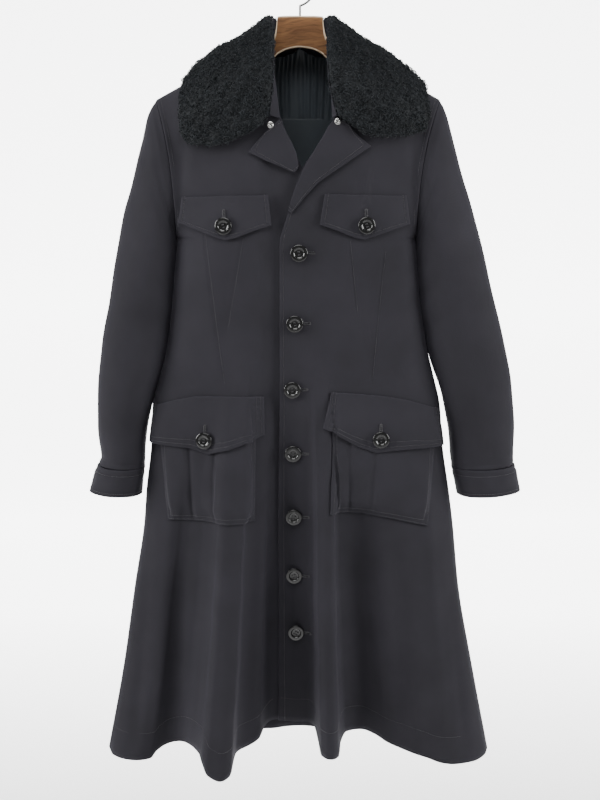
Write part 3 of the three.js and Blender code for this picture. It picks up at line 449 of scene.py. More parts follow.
def outward(face, share, down, step=0.004):
    a = body(face, np.clip(share - step, -0.999, 0.999), down)
    b = body(face, np.clip(share + step, -0.999, 0.999), down)
    c = body(face, share, np.clip(down - step, 0.001, 2))
    d = body(face, share, np.clip(down + step, 0.001, 2))
    normal = unit(np.cross(b - a, d - c))
    return np.where((normal[..., 1] * FACES[face][0] < 0)[..., None], -normal, normal)


def locate(face, x, z):
    """Finds the share and the way down of the points of a face that are seen at x and z."""
    x, z = np.broadcast_arrays(np.asarray(x, float), np.asarray(z, float))
    half_share = by_side(x, -0.5, 0.5)
    above, below = np.zeros_like(x), np.full_like(x, 2)

    def share_at(down):
        return np.clip(x / (np.abs(body(face, half_share, down)[..., 0]) * 2), -0.999, 0.999)

    for _ in range(24):
        down = (above + below) / 2
        high = body(face, share_at(down), down)[..., 2] > z
        above, below = np.where(high, down, above), np.where(high, below, down)
    return share_at(above), above


print("shoulder to hem", round(float(body("front", 0.3, 0)[2] - body("front", 0.3, 2)[2])), "mm")

# %% [markdown]
# ## Creases and darts
# Worn cloth keeps soft folds, and stitched darts pull it into narrow valleys. Each crease
# is a segment with a width and a height, and the sum of them moves the cloth in or out.
# Because all pieces on the front use the same sum, a flap follows the fold under it.

# %% Relief of the cloth
CREASES = {
    "front": table("x0 z0 x1 z1 half height", [
        # darts below the chest flaps: a valley each, with a soft pull on either side
        (-146, -393, -136, -488, 1.5, -1.2), (-136, -488, -120, -625, 1.5, -1.0),
        (-88, -398, -113, -536, 1.4, -0.8), (74, -404, 86, -512, 1.4, -0.8),
        (128, -420, 119, -510, 1.5, -1.1), (119, -510, 110, -619, 1.5, -1.0),
        (-139, -400, -124, -600, 13, 1.6), (124, -420, 114, -600, 13, 1.6),
        (-100, -410, -117, -560, 9, -1.3), (80, -410, 98, -560, 9, -1.3),
        # the fold above the left chest flap, and drag lines from the collar and the shoulders
        (102, -300, 101, -352, 5, 2.2), (84, -300, 92, -352, 7, -1.4), (-96, -290, -104, -345, 10, 1.2),
        (-150, -230, -176, -330, 14, 1.8), (-176, -250, -186, -360, 8, -1.4),
        (150, -230, 166, -320, 14, 1.6), (170, -260, 176, -350, 7, -1.5),
        (-60, -420, -40, -600, 16, 1.4), (40, -440, 56, -620, 18, 1.6),
        # pulls at the waist, where the flared skirt starts
        (-190, -560, -150, -600, 10, 1.8), (-200, -590, -160, -630, 8, -1.6),
        (180, -550, 146, -600, 10, 1.8), (190, -590, 150, -628, 8, -1.4),
        # the skirt's smaller folds between the flutes
        (-196, -760, -236, -1200, 13, 3.0), (-238, -800, -272, -1230, 11, -2.6),
        (-60, -880, -74, -1180, 10, 2.2), (-30, -760, -34, -1190, 12, -1.6),
        (96, -900, 118, -1200, 13, 2.4), (150, -880, 176, -1220, 14, -2.8),
        (196, -760, 236, -1230, 13, 3.0), (232, -820, 272, -1240, 10, -2.4),
        (4, -640, 8, -1190, 16, 1.4),
        # the recess between the two flutes of the skirt, the flutes' crests, and the hollows beside them
        (-30, -640, -36, -1700, 40, -12), (-112, -700, -136, -1700, 15, 4.5),
        (45, -700, 50, -1700, 10, 4.5), (-196, -760, -212, -1700, 22, -4.5),
        (98, -760, 108, -1700, 22, -5), (176, -700, 214, -1700, 28, 3),
    ]),
    "back": table("x0 z0 x1 z1 half height", [
        (0, -140, 0, -1240, 1.3, -1.0), (-10, -230, -8, -1200, 8, 0.8), (10, -230, 8, -1200, 8, 0.8),
        (-70, -400, -58, -640, 1.4, -0.9), (70, -400, 58, -640, 1.4, -0.9),
        (-150, -240, -120, -420, 16, 2.2), (148, -240, 116, -430, 16, 2.2),
        (-176, -300, -160, -420, 9, -1.8), (166, -300, 152, -420, 9, -1.8),
        (-60, -560, -110, -620, 12, 1.8), (60, -560, 108, -626, 12, 1.8),
        (-40, -600, -90, -640, 8, -1.4), (40, -600, 92, -646, 8, -1.4),
        (-210, -700, -262, -1220, 13, 3.2), (206, -700, 258, -1220, 13, 3.2),
        (-60, -800, -80, -1200, 12, -2.4), (62, -800, 82, -1200, 12, -2.4),
    ]),
}
RUMPLE_WAVES, RUMPLE_HEIGHT = 14, 0.34
rumple_random = np.random.default_rng(4)
RUMPLES = [(rumple_random.uniform(40, 150), rumple_random.uniform(0, np.pi), rumple_random.uniform(0, 6.3))
           for _ in range(RUMPLE_WAVES)]


def rumple(x, z):
    """Low waves in many directions, as in cloth that has been folded away."""
    total = sum(np.sin((x * np.cos(turn) + z * np.sin(turn)) * 2 * np.pi / length + phase)
                for length, turn, phase in RUMPLES)
    return RUMPLE_HEIGHT * total / math.sqrt(RUMPLE_WAVES) * 1.6


def relief(face, x, z):
    """How far the cloth stands off its smooth surface at x and z."""
    height = rumple(x, z)
    for x0, z0, x1, z1, half, rise in zip(*CREASES[face].values()):
        length = math.hypot(x1 - x0, z1 - z0)
        across = ((x - x0) * (z1 - z0) - (z - z0) * (x1 - x0)) / length
        along = ((x - x0) * (x1 - x0) + (z - z0) * (z1 - z0)) / length ** 2
        fade = smoothstep(along, -0.08, 0.12) * (1 - smoothstep(along, 0.85, 1.08))
        height = height + rise * fade * np.exp(-(across / half) ** 2)
    return height


def on_face(face, x, z, out):
    """Points that lie out off the face at x and z, on the creased cloth."""
    share, down = locate(face, x, z)
    lift = np.asarray(out + relief(face, x, z))[..., None]
    return body(face, share, down) + outward(face, share, down) * lift


print("creases", {face: len(rows["x0"]) for face, rows in CREASES.items()})

# %% [markdown]
# ## Walls from grids
# Each piece starts as a grid of points with rows down the cloth. A second grid, one cloth
# thickness inside, and a rim between the two close it into a wall. The UV map holds metres
# along the cloth, and the `edge` attribute is 1 at a cut edge and fades inwards.

# %% Walls and pieces
def grid_normals(grid, wraps=False):
    if wraps:
        around = np.roll(grid, -1, 1) - np.roll(grid, 1, 1)
    else:
        around = np.concatenate([grid[:, 1:2] - grid[:, :1], grid[:, 2:] - grid[:, :-2],
                                 grid[:, -1:] - grid[:, -2:-1]], 1)
    along = np.concatenate([grid[1:2] - grid[:1], grid[2:] - grid[:-2], grid[-1:] - grid[-2:-1]], 0)
    return unit(np.cross(around, along))


def lengths(grid, wraps):
    """How far each point is along its row and down its column, in millimetres."""
    closed = np.concatenate([grid, grid[:, :1]], 1) if wraps else grid
    across = np.linalg.norm(np.diff(closed, axis=1), axis=-1)
    down = np.linalg.norm(np.diff(closed, axis=0), axis=-1)
    across = np.concatenate([np.zeros((len(grid), 1)), np.cumsum(across, 1)], 1)
    down = np.concatenate([np.zeros((1, closed.shape[1])), np.cumsum(down, 0)], 0)
    return across, down


def close_wall(outer, wraps):
    """Faces of the closed wall behind a grid, and the grid corner of each face corner."""
    rows, columns = outer.shape[:2]
    corner = np.arange(rows * (columns + wraps)).reshape(rows, columns + wraps)
    point = np.arange(rows * columns).reshape(rows, columns)
    if wraps:
        point = np.hstack([point, point[:, :1]])

    def faces(index, shift):
        a, b, c, d = index[:-1, :-1], index[1:, :-1], index[1:, 1:], index[:-1, 1:]
        skin = np.stack([a, b, c, d], -1).reshape(-1, 4)
        loops = [index[0], index[-1][::-1]]
        if not wraps:
            loops += [index[::-1, 0], index[:, -1]]
        rims = [np.stack([loop[:-1], loop[1:], loop[1:] + shift, loop[:-1] + shift], -1) for loop in loops]
        return np.concatenate([skin, skin[:, ::-1] + shift, *rims])

    return faces(point, rows * columns), faces(corner, 0)


def make_piece(name, points, faces, material, corner_uv=None, edge=None):
    """A mesh object from points in millimetres, turned right side out."""
    a, b, c = points[faces[:, 0]], points[faces[:, 1]], points[faces[:, 2]]
    d = points[faces[:, -1]]
    volume = (np.sum(a * np.cross(b, c)) + np.sum(a * np.cross(c, d))) / 6
    if volume < 0:
        faces = faces[:, ::-1]
        corner_uv = corner_uv[:, ::-1] if corner_uv is not None else None
    mesh = bpy.data.meshes.new(name)
    mesh.from_pydata((points * MM).tolist(), [], faces.tolist())
    mesh.polygons.foreach_set("use_smooth", np.ones(len(faces), bool))
    if corner_uv is not None:
        mesh.uv_layers.new(name="cloth").data.foreach_set("uv", (corner_uv * MM).ravel())
    if edge is not None:
        mesh.attributes.new("edge", "FLOAT", "POINT").data.foreach_set("value", edge.ravel())
    mesh.materials.append(material)
    piece = bpy.data.objects.new(name, mesh)
    bpy.context.scene.collection.objects.link(piece)
    return piece


def declare(piece, nodes):
    """What every piece says: its body and the solids it stands for."""
    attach(piece, "root")
    if nodes:
        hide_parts(*nodes)
    return piece


EDGE_FADE = 3.5


def cloth_piece(name, outer, thickness, node, facing, wraps=False, inner=None,
                material=None):
    """A wall of cloth behind a grid."""
    if inner is None:
        normals = grid_normals(outer, wraps)
        middle = normals[len(normals) // 2, normals.shape[1] // 2]
        inner = outer - normals * thickness * (1 if middle @ np.array(facing) > 0 else -1)
    across, down = lengths(outer, wraps)
    reach = np.minimum(down, down[-1:] - down)
    if not wraps:
        reach = np.minimum(reach, np.minimum(across, across[:, -1:] - across))
    edge = np.clip(1 - reach / EDGE_FADE, 0, 1)[:, :outer.shape[1]]
    faces, corners = close_wall(outer, wraps)
    spread = np.stack([across, down], -1).reshape(-1, 2)
    points = np.concatenate([outer.reshape(-1, 3), inner.reshape(-1, 3)])
    piece = make_piece(name, points, faces, material or black_twill, spread[corners],
                       np.concatenate([edge, edge]))
    cells = np.cross(outer[1:, 1:] - outer[:-1, :-1], outer[1:, :-1] - outer[:-1, 1:])
    area = np.linalg.norm(cells, axis=-1).sum() / 2
    if wraps:
        area *= outer.shape[1] / (outer.shape[1] - 1)
    declare(piece, [node])
    return piece


print("wall helpers ready")

# %% [markdown]
# ## Back and fronts
# The fronts and the back are grids over the body surface, fine enough for the darts to
# show as valleys. The right front sinks a little where the left front laps over it.

# %% Panels
LAP_SINK, SINK_X, SINK_DROP = 4.8, (-64, -38), (235, 285)
PANEL_ROWS, UPPER_ROWS, FRONT_COLUMNS, BACK_COLUMNS = 126, 46, 168, 124
downs = np.concatenate([np.linspace(0, 1, UPPER_ROWS)[:-1] ** 1.1,
                        np.linspace(1, 2, PANEL_ROWS - UPPER_ROWS + 1)])
at_shoulder = np.array((0.0, 0, -1))


def edge_share(down, layer):
    """The share at which a front's free edge crosses each row."""
    share = np.full_like(down, NECK_SHARE * (-1 if layer == "lower" else 1))
    for _ in range(14):
        x = curve(FRONT_EDGE, "z", layer, body("front", share, down)[..., 2])
        share = x / (np.abs(body("front", by_side(x, -0.5, 0.5), down)[..., 0]) * 2)
    return share


def panel_grid(face, share, sink=0.0):
    """The panel's outer points, with its creases, and the directions out of it."""
    down = np.broadcast_to(downs[:, None], share.shape)
    point, out = body(face, share, down), outward(face, share, down)
    lift = relief(face, point[..., 0], point[..., 2])
    lift = lift * np.clip(down * 8, 0, 1) * (1 - np.abs(share) ** 12)
    if sink:
        sunk = smoothstep(point[..., 0], *SINK_X) * smoothstep(-point[..., 2], *SINK_DROP)
        lift = lift - sink * sunk
    return point + out * lift[..., None], out


def panel_inner(outer, out, share, sign):
    """One wall inside a panel. At seams the wall points along the seam, as its neighbour's does."""
    inner = outer - out * WALL
    inner[0] = outer[0] + at_shoulder * WALL
    for column in (0, -1):
        if abs(share[-1, column]) < 0.99:
            continue
        turn = np.clip(downs, 0, 1)[:, None]
        seam = np.concatenate([0 * turn, -sign * np.sin(np.pi * turn), -np.cos(np.pi * turn)], 1)
        side = np.array((-np.sign(share[-1, column]), 0, 0))
        inner[:, column] = outer[:, column] + np.where(downs[:, None] <= 1, seam, side) * WALL
    return inner


def front(name, layer, node):
    side = -1 if layer == "lower" else 1
    start = edge_share(downs, layer)[:, None]
    across = np.linspace(0, 1, FRONT_COLUMNS)
    across = np.where(across < 0.04, across * 0.5, across * 1.0208 - 0.0208)
    share = start + (side - start) * across
    outer, out = panel_grid("front", share, LAP_SINK if layer == "lower" else 0)
    return cloth_piece(name, outer, WALL, node, (0, -1, 0),
                       inner=panel_inner(outer, out, share, -1))


front("right_front", "lower", "front_right")
front("left_front", "upper", "front_left")
spread = np.linspace(-1, 1, BACK_COLUMNS)
back_shares = np.broadcast_to(np.sign(spread) * np.abs(spread) ** 0.95, (len(downs), BACK_COLUMNS))
back_grid, back_out = panel_grid("back", back_shares)
cloth_piece("back", back_grid, WALL, "back_panel", (0, 1, 0),
            inner=panel_inner(back_grid, back_out, back_shares, 1))

# %% [markdown]
# ## Sleeves and cuffs
# A sleeve is a tube through the armhole ring and a table of ovals, each named by its outer
# and inner edge as seen from the front. It carries slanting folds where the arm would bend.

# %% Sleeves
SLEEVE_NAMES = "outX outZ inX inZ depth"
SLEEVES = {
    -1: table(SLEEVE_NAMES, [
        (-234, -213, -190, -409, 55), (-246, -258, -191.5, -424, 57), (-262, -318, -193.5, -446, 57),
        (-276, -367, -196.5, -474, 56), (-289, -432, -200.5, -510, 54), (-301, -500, -206, -550, 53),
        (-314, -565, -214.5, -596, 52), (-322, -635, -232, -650, 51), (-324, -700, -245, -706, 50),
        (-319, -745, -249, -750, 47), (-323, -761, -250, -766, 48),
    ]),
    1: table(SLEEVE_NAMES, [
        (228, -217, 178, -409, 55), (240, -262, 179.5, -424, 57), (257, -320, 181.5, -446, 57),
        (272, -367, 184, -474, 56), (290, -432, 188, -510, 54), (307, -500, 196, -550, 53),
        (324, -565, 208, -596, 52), (337, -635, 226, -650, 51), (343, -700, 237, -706, 50),
        (343, -745, 242, -750, 49), (343, -761, 244, -766, 49),
    ]),
}
CUFFS = {
    -1: table(SLEEVE_NAMES, [(-325, -762, -249.5, -767, 49.5), (-333, -782, -253, -788, 51),
                             (-340, -804, -256, -811, 50)]),
    1: table(SLEEVE_NAMES, [(345, -762, 243.5, -767, 50.5), (350, -782, 248, -788, 52),
                            (355, -804, 253, -811, 51)]),
}
SLEEVE_AROUND, SLEEVE_ROWS, CUFF_ROWS = 96, 98, 18
# folds: place down the sleeve 0 to 1, place round it in half turns, slant, half width, height
SLEEVE_FOLDS = table("along turn slant half height", [
    (0.05, 0.30, 0.25, 0.018, 1.5), (0.10, 0.72, -0.2, 0.02, -1.6), (0.22, 0.55, 0.25, 0.03, 1.8),
    (0.40, 0.62, 0.35, 0.022, -2.2), (0.46, 0.72, 0.42, 0.024, 2.6), (0.52, 0.66, 0.3, 0.02, -2.0),
    (0.58, 0.76, 0.36, 0.022, 2.0), (0.70, 0.40, -0.3, 0.03, 1.8), (0.80, 0.6, 0.28, 0.022, -1.6),
    (0.90, 0.35, -0.22, 0.016, 1.4), (0.955, 0.62, 0.16, 0.013, -1.6), (0.97, 0.28, -0.14, 0.012, 1.2),
])
names = {-1: "right", 1: "left"}


def ovals(sections, angles):
    """The points of each section of a sleeve, by row and angle."""
    outer = (1 + np.cos(angles)) / 2
    return np.stack([mix(sections["inX"][:, None], sections["outX"][:, None], outer),
                     -sections["depth"][:, None] * np.sin(angles),
                     mix(sections["inZ"][:, None], sections["outZ"][:, None], outer)], -1)


def through(rings, rows):
    """A smooth tube through rings of points."""
    at = np.linspace(0, len(rings) - 1, rows)
    stations = np.arange(len(rings), dtype=float)
    smooth = [curve({"s": stations, "v": rings[:, c, k]}, "s", "v", at)
              for c in range(rings.shape[1]) for k in range(3)]
    return np.array(smooth).T.reshape(rows, rings.shape[1], 3)


def outward_of(grid):
    """Normals of a tube, away from its middle."""
    normals = grid_normals(grid, True)
    away = np.sum(normals * (grid - grid.mean(1, keepdims=True)), -1).mean()
    return normals if away > 0 else -normals


def sleeve_folds(rows, angles, side):
    """The height of the sleeve's folds. They are deep on one side of the sleeve and fade round it."""
    along = np.linspace(0, 1, rows)[:, None]
    turn = np.minimum(angles, 2 * np.pi - angles) / np.pi
    front = np.where(angles <= np.pi, 1.0, 0.75)
    height = 0.5 * np.sin(along * 31 + angles * 2 + side) * np.sin(along * 17 - angles * 3)
    for a, t, slant, half, rise in zip(*SLEEVE_FOLDS.values()):
        line = along - a - slant * 0.12 * (turn - t)
        height = height + 0.6 * rise * front * np.exp(-(line / half) ** 2 - ((turn - t) / 0.3) ** 2)
    return height * smoothstep(along, 0, 0.03) * (1 - smoothstep(along, 0.985, 1))


def sleeve(side):
    angles = np.linspace(0, 2 * np.pi, SLEEVE_AROUND, endpoint=False)
    turns = angles / np.pi
    ring = armhole(side, np.minimum(turns, 2 - turns), np.where(turns <= 1, -1, 1))
    grid = through(np.concatenate([ring[None], ovals(SLEEVES[side], angles)]), SLEEVE_ROWS)
    out = outward_of(grid)
    grid = grid + out * sleeve_folds(SLEEVE_ROWS, angles, side)[..., None]
    inner = grid - out * WALL
    down = np.minimum(turns, 2 - turns)
    inner[0] = ring + WALL * np.stack([0 * turns, -np.where(turns <= 1, -1, 1) * np.sin(np.pi * down),
                                       -np.cos(np.pi * down)], -1)
    cloth_piece(f"{names[side]}_sleeve", grid, WALL, f"sleeve_{names[side]}", (0, 0, 0),
                wraps=True, inner=inner)


def cuff(side):
    angles = np.linspace(0, 2 * np.pi, SLEEVE_AROUND, endpoint=False)
    grid = through(ovals(CUFFS[side], angles), CUFF_ROWS)
    along = np.linspace(0, 1, CUFF_ROWS)[:, None]
    out = outward_of(grid)
    wave = 0.7 * np.sin(angles * 3 + side) * along + 0.35 * np.sin(angles * 7 + along * 4)
    groove = -0.9 * np.exp(-((along - 0.16) / 0.04) ** 2) + 0.5 * np.exp(-((along - 0.32) / 0.1) ** 2)
    grid = grid + out * (wave + groove)[..., None]
    cloth_piece(f"{names[side]}_cuff", grid, DOUBLE_WALL, f"cuff_{names[side]}", (0, 0, 0),
                wraps=True, inner=grid - out * DOUBLE_WALL)
    return grid


for side in names:
    sleeve(side)
cuff_grids = {side: cuff(side) for side in names}

# %% [markdown]
# ## Flaps, pockets and lapels
# These pieces lie on the fronts. A short table says where each starts and ends as seen from
# the front, and a rise says how far it stands off. The hip pockets are bellows: their middle
# swells, and two pleats sink into it.

# %% Pieces that lie on the fronts
FLAP_NAMES = "topX topZ lowX lowZ"
CHEST_FLAPS = {
    -1: table(FLAP_NAMES, [(-48, -335, -43, -380), (-72, -336, -70, -389), (-98, -336, -96, -399),
                           (-112, -336, -112, -403), (-128, -337, -129, -398), (-154, -338, -156, -387),
                           (-180, -338, -184, -376)]),
    1: table(FLAP_NAMES, [(37, -334, 30, -379), (60, -334, 58, -389), (84, -335, 82, -399),
                          (97, -335, 97, -402), (112, -335, 112, -397), (138, -336, 140, -387),
                          (161, -336, 166, -379)]),
}
HIP_FLAPS = {
    -1: table(FLAP_NAMES, [(-56, -645, -55, -706), (-84, -645, -84, -717), (-112, -645, -116, -730),
                           (-134, -645, -140, -736), (-164, -646, -172, -727), (-196, -653, -204, -725),
                           (-220, -661, -226, -724), (-230, -664, -235.5, -723)]),
    1: table(FLAP_NAMES, [(48, -638, 36, -693), (68, -639, 64, -708), (92, -641, 94, -724),
                          (112, -643, 118, -733), (138, -646, 146, -730), (168, -652, 176, -728),
                          (204, -664, 210, -728), (217, -669, 225, -729)]),
}
CHEST_FLAP_RISE = table("q out", [(0, 0), (0.5, 1.2), (1, 3.2)])
HIP_FLAP_RISE = table("q out", [(0, 0), (0.3, 3.6), (0.65, 7), (1, 9)])
LAPELS = {
    -1: table(FLAP_NAMES, [(-31, -224, -53, -244), (-22, -240, -66, -258), (-13, -256, -77, -272),
                           (-6, -272, -50, -285), (-3, -286, -25, -295), (-3, -296, -9, -302)]),
    1: table(FLAP_NAMES, [(53, -220, 73, -231), (42, -234, 88, -249), (33, -250, 106, -263),
                          (17, -276, 66, -290), (4, -298, 27, -317), (-9, -330, 5, -341),
                          (-18, -358, -13, -363)]),
}
POCKETS = {
    -1: dict(inner_top=(-68, -670), outer_top=(-222, -690), inner_low=(-71, -846), outer_low=(-210, -846),
             pleats=(0.42, 0.7)),
    1: dict(inner_top=(49, -670), outer_top=(214, -700), inner_low=(46, -832), outer_low=(200, -854),
            pleats=(0.2, 0.44)),
}
POCKET_BULGE = table("q out", [(0, 0.2), (0.33, 4), (0.6, 8), (0.85, 8.5), (1, 0.2)])
PLEAT_SINK, PLEAT_HALF, POCKET_OFF, LAPEL_RISE = 1.7, 0.035, 1.0, 3.0
FLAP_EDGE = 6.0
FLAP_STITCHES = {"chest": (FLAP_EDGE,), "hip": (FLAP_EDGE, 13.0)}


def between_rows(rows, column, u):
    return np.interp(u * (len(rows[column]) - 1), np.arange(len(rows[column])), rows[column])


def lay(place, out, columns, rows, thickness):
    """Outer and inner grids of a piece on the front, whose place and distance are functions."""
    u, q = np.meshgrid(np.linspace(0, 1, columns), np.linspace(0, 1, rows))
    x, z = place(u, q)
    share, down = locate("front", x, z)
    base, normal = body("front", share, down), outward("front", share, down)
    lift = out(u, q) + relief("front", x, z)
    return base + normal * (lift + thickness)[..., None], base + normal * lift[..., None]


def table_place(rows):
    return lambda u, q: (mix(between_rows(rows, "topX", u), between_rows(rows, "lowX", u), q),
                         mix(between_rows(rows, "topZ", u), between_rows(rows, "lowZ", u), q))


def pucker(u, q, wide, high, inset, pitch=11):
    """Small puckers along stitches that run inset from a piece's edges."""
    beside = np.minimum(u, 1 - u) * wide
    below = (1 - q) * high
    near = np.exp(-((np.minimum(beside, below) - inset) / 3.0) ** 2)
    groove = -0.45 * np.exp(-((np.minimum(beside, below) - inset) / 0.9) ** 2)
    along = np.where(beside < below, q * high, u * wide)
    return groove + 0.22 * near * np.sin(2 * np.pi * along / pitch + 3 * np.sin(along / 17))


def on_front(side, name, node, outer, inner):
    """Declares a laid piece that rests on the front of its side."""
    cloth_piece(f"{names[side]}_{name}", outer, WALL, f"{node}_{names[side]}", (0, -1, 0),
                inner=inner)
    return outer


def flap(side, kind, rows, rise, end_rise):
    wide, high = np.ptp(rows["lowX"]), abs(rows["lowZ"].mean() - rows["topZ"].mean())

    def out(u, q):
        ends = mix(end_rise, 1, smoothstep(np.minimum(u, 1 - u), 0, 0.14))
        rounded = -1.1 * np.exp(-(1 - q) * high / 2.2)
        waved = 0.8 * q * np.sin(u * 9 + side) + 0.5 * q * np.sin(u * 19 - side)
        puckers = sum(pucker(u, q, wide, high, inset) for inset in FLAP_STITCHES[kind])
        return ON_PANEL + curve(rise, "q", "out", q) * ends + rounded * ends + waved * ends + puckers

    outer, inner = lay(table_place(rows), out, 92, 42, DOUBLE_WALL)
    return on_front(side, f"{kind}_flap_cloth", f"{kind}_flap", outer, inner)


def pocket(side):
    size = POCKETS[side]

    def place(u, q):
        (inner_x, inner_z), (outer_x, outer_z) = size["inner_top"], size["outer_top"]
        (inner_low_x, inner_low_z), (outer_low_x, outer_low_z) = size["inner_low"], size["outer_low"]
        x = mix(mix(inner_x, outer_x, u), mix(inner_low_x, outer_low_x, u), q)
        z = mix(mix(inner_z, outer_z, u), mix(inner_low_z, outer_low_z, u ** 2), q)
        return x, z

    def out(u, q):
        bulge = curve(POCKET_BULGE, "q", "out", q) * smoothstep(np.minimum(u, 1 - u), 0, 0.07)
        pleat = sum(np.exp(-((u - at) / PLEAT_HALF) ** 2) for at in size["pleats"])
        step = sum(1.1 * smoothstep(u, at, at + 0.02) * (1 - smoothstep(u, at + 0.1, at + 0.3))
                   for at in size["pleats"])
        corner_pinch = 2.6 * np.exp(-((u - 0.96) / 0.06) ** 2 - ((q - 0.9) / 0.07) ** 2)
        full = np.minimum(1, bulge / 4)
        puckers = pucker(u, q, 150, 170, 3.0)
        crumple = 0.5 * full * np.sin(u * 23 + 3 * q) * np.sin(q * 13 + side)
        return POCKET_OFF + np.maximum(0, bulge + full * (step - PLEAT_SINK * pleat) + crumple
                                       - corner_pinch * full) + puckers * 0.7

    outer, inner = lay(place, out, 110, 76, WALL)
    return on_front(side, "bellows_pocket", "hip_pocket", outer, inner)


def lapel(side):
    def out(u, q):
        rolled = LAPEL_RISE * q * np.sin(np.pi * np.clip(u, 0.1, 0.9))
        rounded = -0.9 * np.exp(-(1 - q) * 30)
        return ON_PANEL + rolled + rounded + pucker(u, q, 150, 60, FLAP_EDGE) * 0.8

    outer, inner = lay(table_place(LAPELS[side]), out, 84, 42, DOUBLE_WALL)
    return on_front(side, "lapel_fold", "lapel", outer, inner)


flap_grids = {}
for side in names:
    flap_grids["chest", side] = flap(side, "chest", CHEST_FLAPS[side], CHEST_FLAP_RISE, 1.0)
    flap_grids["hip", side] = flap(side, "hip", HIP_FLAPS[side], HIP_FLAP_RISE, 0.25)
pocket_grids = {side: pocket(side) for side in names}
lapel_grids = {side: lapel(side) for side in names}

# %% [markdown]
# ## Collar, facing and lining
# The collar rolls over a cloth stand. Two tables give its roll and its outer edge from a
# front end to the middle of the back. It is lifted clear of the shoulders on a coarse grid,
# which a smooth curve then refines, since the lift is the slow part.

# %% Collar stand and lining
COLLAR_NAMES = "left right y leftZ rightZ"
COLLAR_ROLL = table(COLLAR_NAMES, [
    (-47, 57, -84, -218, -218), (-44, 49, -83, -192, -192), (-41, 43, -78, -155, -155),
    (-40, 42, -58, -115, -115), (-41, 43, -36, -86, -86), (-45, 46, -10, -70, -70),
    (-43, 43, 22, -67, -67), (-26, 26, 45, -69, -69), (0, 0, 53, -71, -71),
])
COLLAR_EDGE = table(COLLAR_NAMES, [
    (-66, 76, -84, -236, -230), (-94, 100, -84, -252, -245), (-130, 130, -80, -261, -248),
    (-163, 162, -68, -260, -246), (-178, 188, -54, -240, -238), (-180, 194, -30, -210, -212),
    (-160, 172, 22, -178, -182), (-90, 96, 74, -188, -188), (0, 0, 86, -192, -192),
])
NECK_SEAM = table(COLLAR_NAMES, [
    (-31, 50, -79, -222, -222), (-35, 49, -77, -190, -190), (-41, 48, -72, -155, -155),
    (-50, 50, -47, -122, -122), (-56, 56, -16, -103, -103), (-55, 55, 14, -99, -99),
    (-46, 46, 36, -98, -98), (-26, 26, 50, -98, -98), (0, 0, 54, -98, -98),
])
NECK_AXIS = np.array((0, -12, 0))
STAND_INSET, COLLAR_CLEARANCE, COLLAR_STEPS, COLLAR_ROWS, LIFT_STEP = 0.8, 6.4, 16, 6, 0.7


def collar_line(rows, steps):
    """Points from the left front end by the back to the right front end."""
    half = np.linspace(0, 1, steps + 1)
    stations = np.linspace(0, 1, len(rows["y"]))

    def point(side, s):
        columns = (rows[side], rows["y"], rows[f"{side}Z"])
        return np.stack([curve({"s": stations, "v": column}, "s", "v", s) for column in columns], -1)

    return np.concatenate([point("left", half), point("right", half[:-1])[::-1]])


def inset(points):
    toward = (NECK_AXIS - points) * (1, 1, 0)
    return points + unit(toward) * STAND_INSET


def ruled(first, second, rows):
    """A grid of straight lines from one line of points to another."""
    q = np.linspace(0, 1, rows)[None, :, None]
    return mix(first[:, None], second[:, None], q)


stand_grid = ruled(inset(collar_line(NECK_SEAM, 90)), inset(collar_line(COLLAR_ROLL, 90)), 16)
cloth_piece("neck_stand", stand_grid, WALL, "collar_stand", (0, 1, 0))

LINING_HALF, LINING_GAP, LINING_LOW, FACING_SEAM, LINING_LAP = 0.34, 5.6, -440, -220, 4
PLEATS, PLEAT_DEPTH, SATIN_WALL, BACK_WIDTH = 11, 1.3, 1.0, 200


def inside_back(name, node, top, low, fold):
    """A wall of satin inside the back. Close rows at its ends keep the shading of its rims narrow."""
    u = np.linspace(0, 1, 121)
    shares = mix(-LINING_HALF, LINING_HALF, u)
    q = np.concatenate([(0, 0.002), np.linspace(0.01, 0.99, 28), (0.998, 1)])[:, None]
    z = mix(top(shares), low, q)
    share = np.broadcast_to(shares, z.shape)
    down = locate("back", share * BACK_WIDTH, z)[1]
    base, out = body("back", share, down), outward("back", share, down)
    depth = WALL + LINING_GAP + fold(np.broadcast_to(u, z.shape), q * np.ones_like(z))
    cloth_piece(name, base - out * depth[..., None], SATIN_WALL, node, (0, -1, 0),
                inner=base - out * (depth + SATIN_WALL)[..., None],
                material=dark_satin)


def pleats(u, q):
    """Soft folds of the satin that die away towards its lower seam."""
    wave = 2 * np.pi * PLEATS * u + 0.8 * np.sin(9 * u) + 0.5 * np.sin(3 * q)
    return PLEAT_DEPTH * (1 - np.cos(wave)) * mix(1, 0.35, q) + 0.3 * np.sin(83 * u + 2 * q)


inside_back("pleated_facing", "back_facing",
            lambda share: shoulder_line(share) - neck_drop("back", share) - 3 - 12 * np.abs(share),
            FACING_SEAM, pleats)
inside_back("plain_lining", "back_lining", lambda share: FACING_SEAM + LINING_LAP + 0 * share, LINING_LOW,
            lambda u, q: 2.2 + 0.3 * np.sin(11 * u + 3 * q))

# %% [markdown]
# ## Fur collar
# Lambskin fur is a mass of small curls. A padded body gives the collar its shape and its
# dark depth, and thousands of wire-like curls stand on it. Geometry Nodes scatter one
# short spiral over the surface, turn and scale each copy at random, and keep them apart.

# %% Fur body
FUR_THICKNESS = table("q t", [(0, 6.5), (0.25, 12), (0.5, 16.5), (0.78, 13), (1, 5.5)])
CURL_STAND = 2.6
PILE_ALONG, PILE_ACROSS = 200, 48


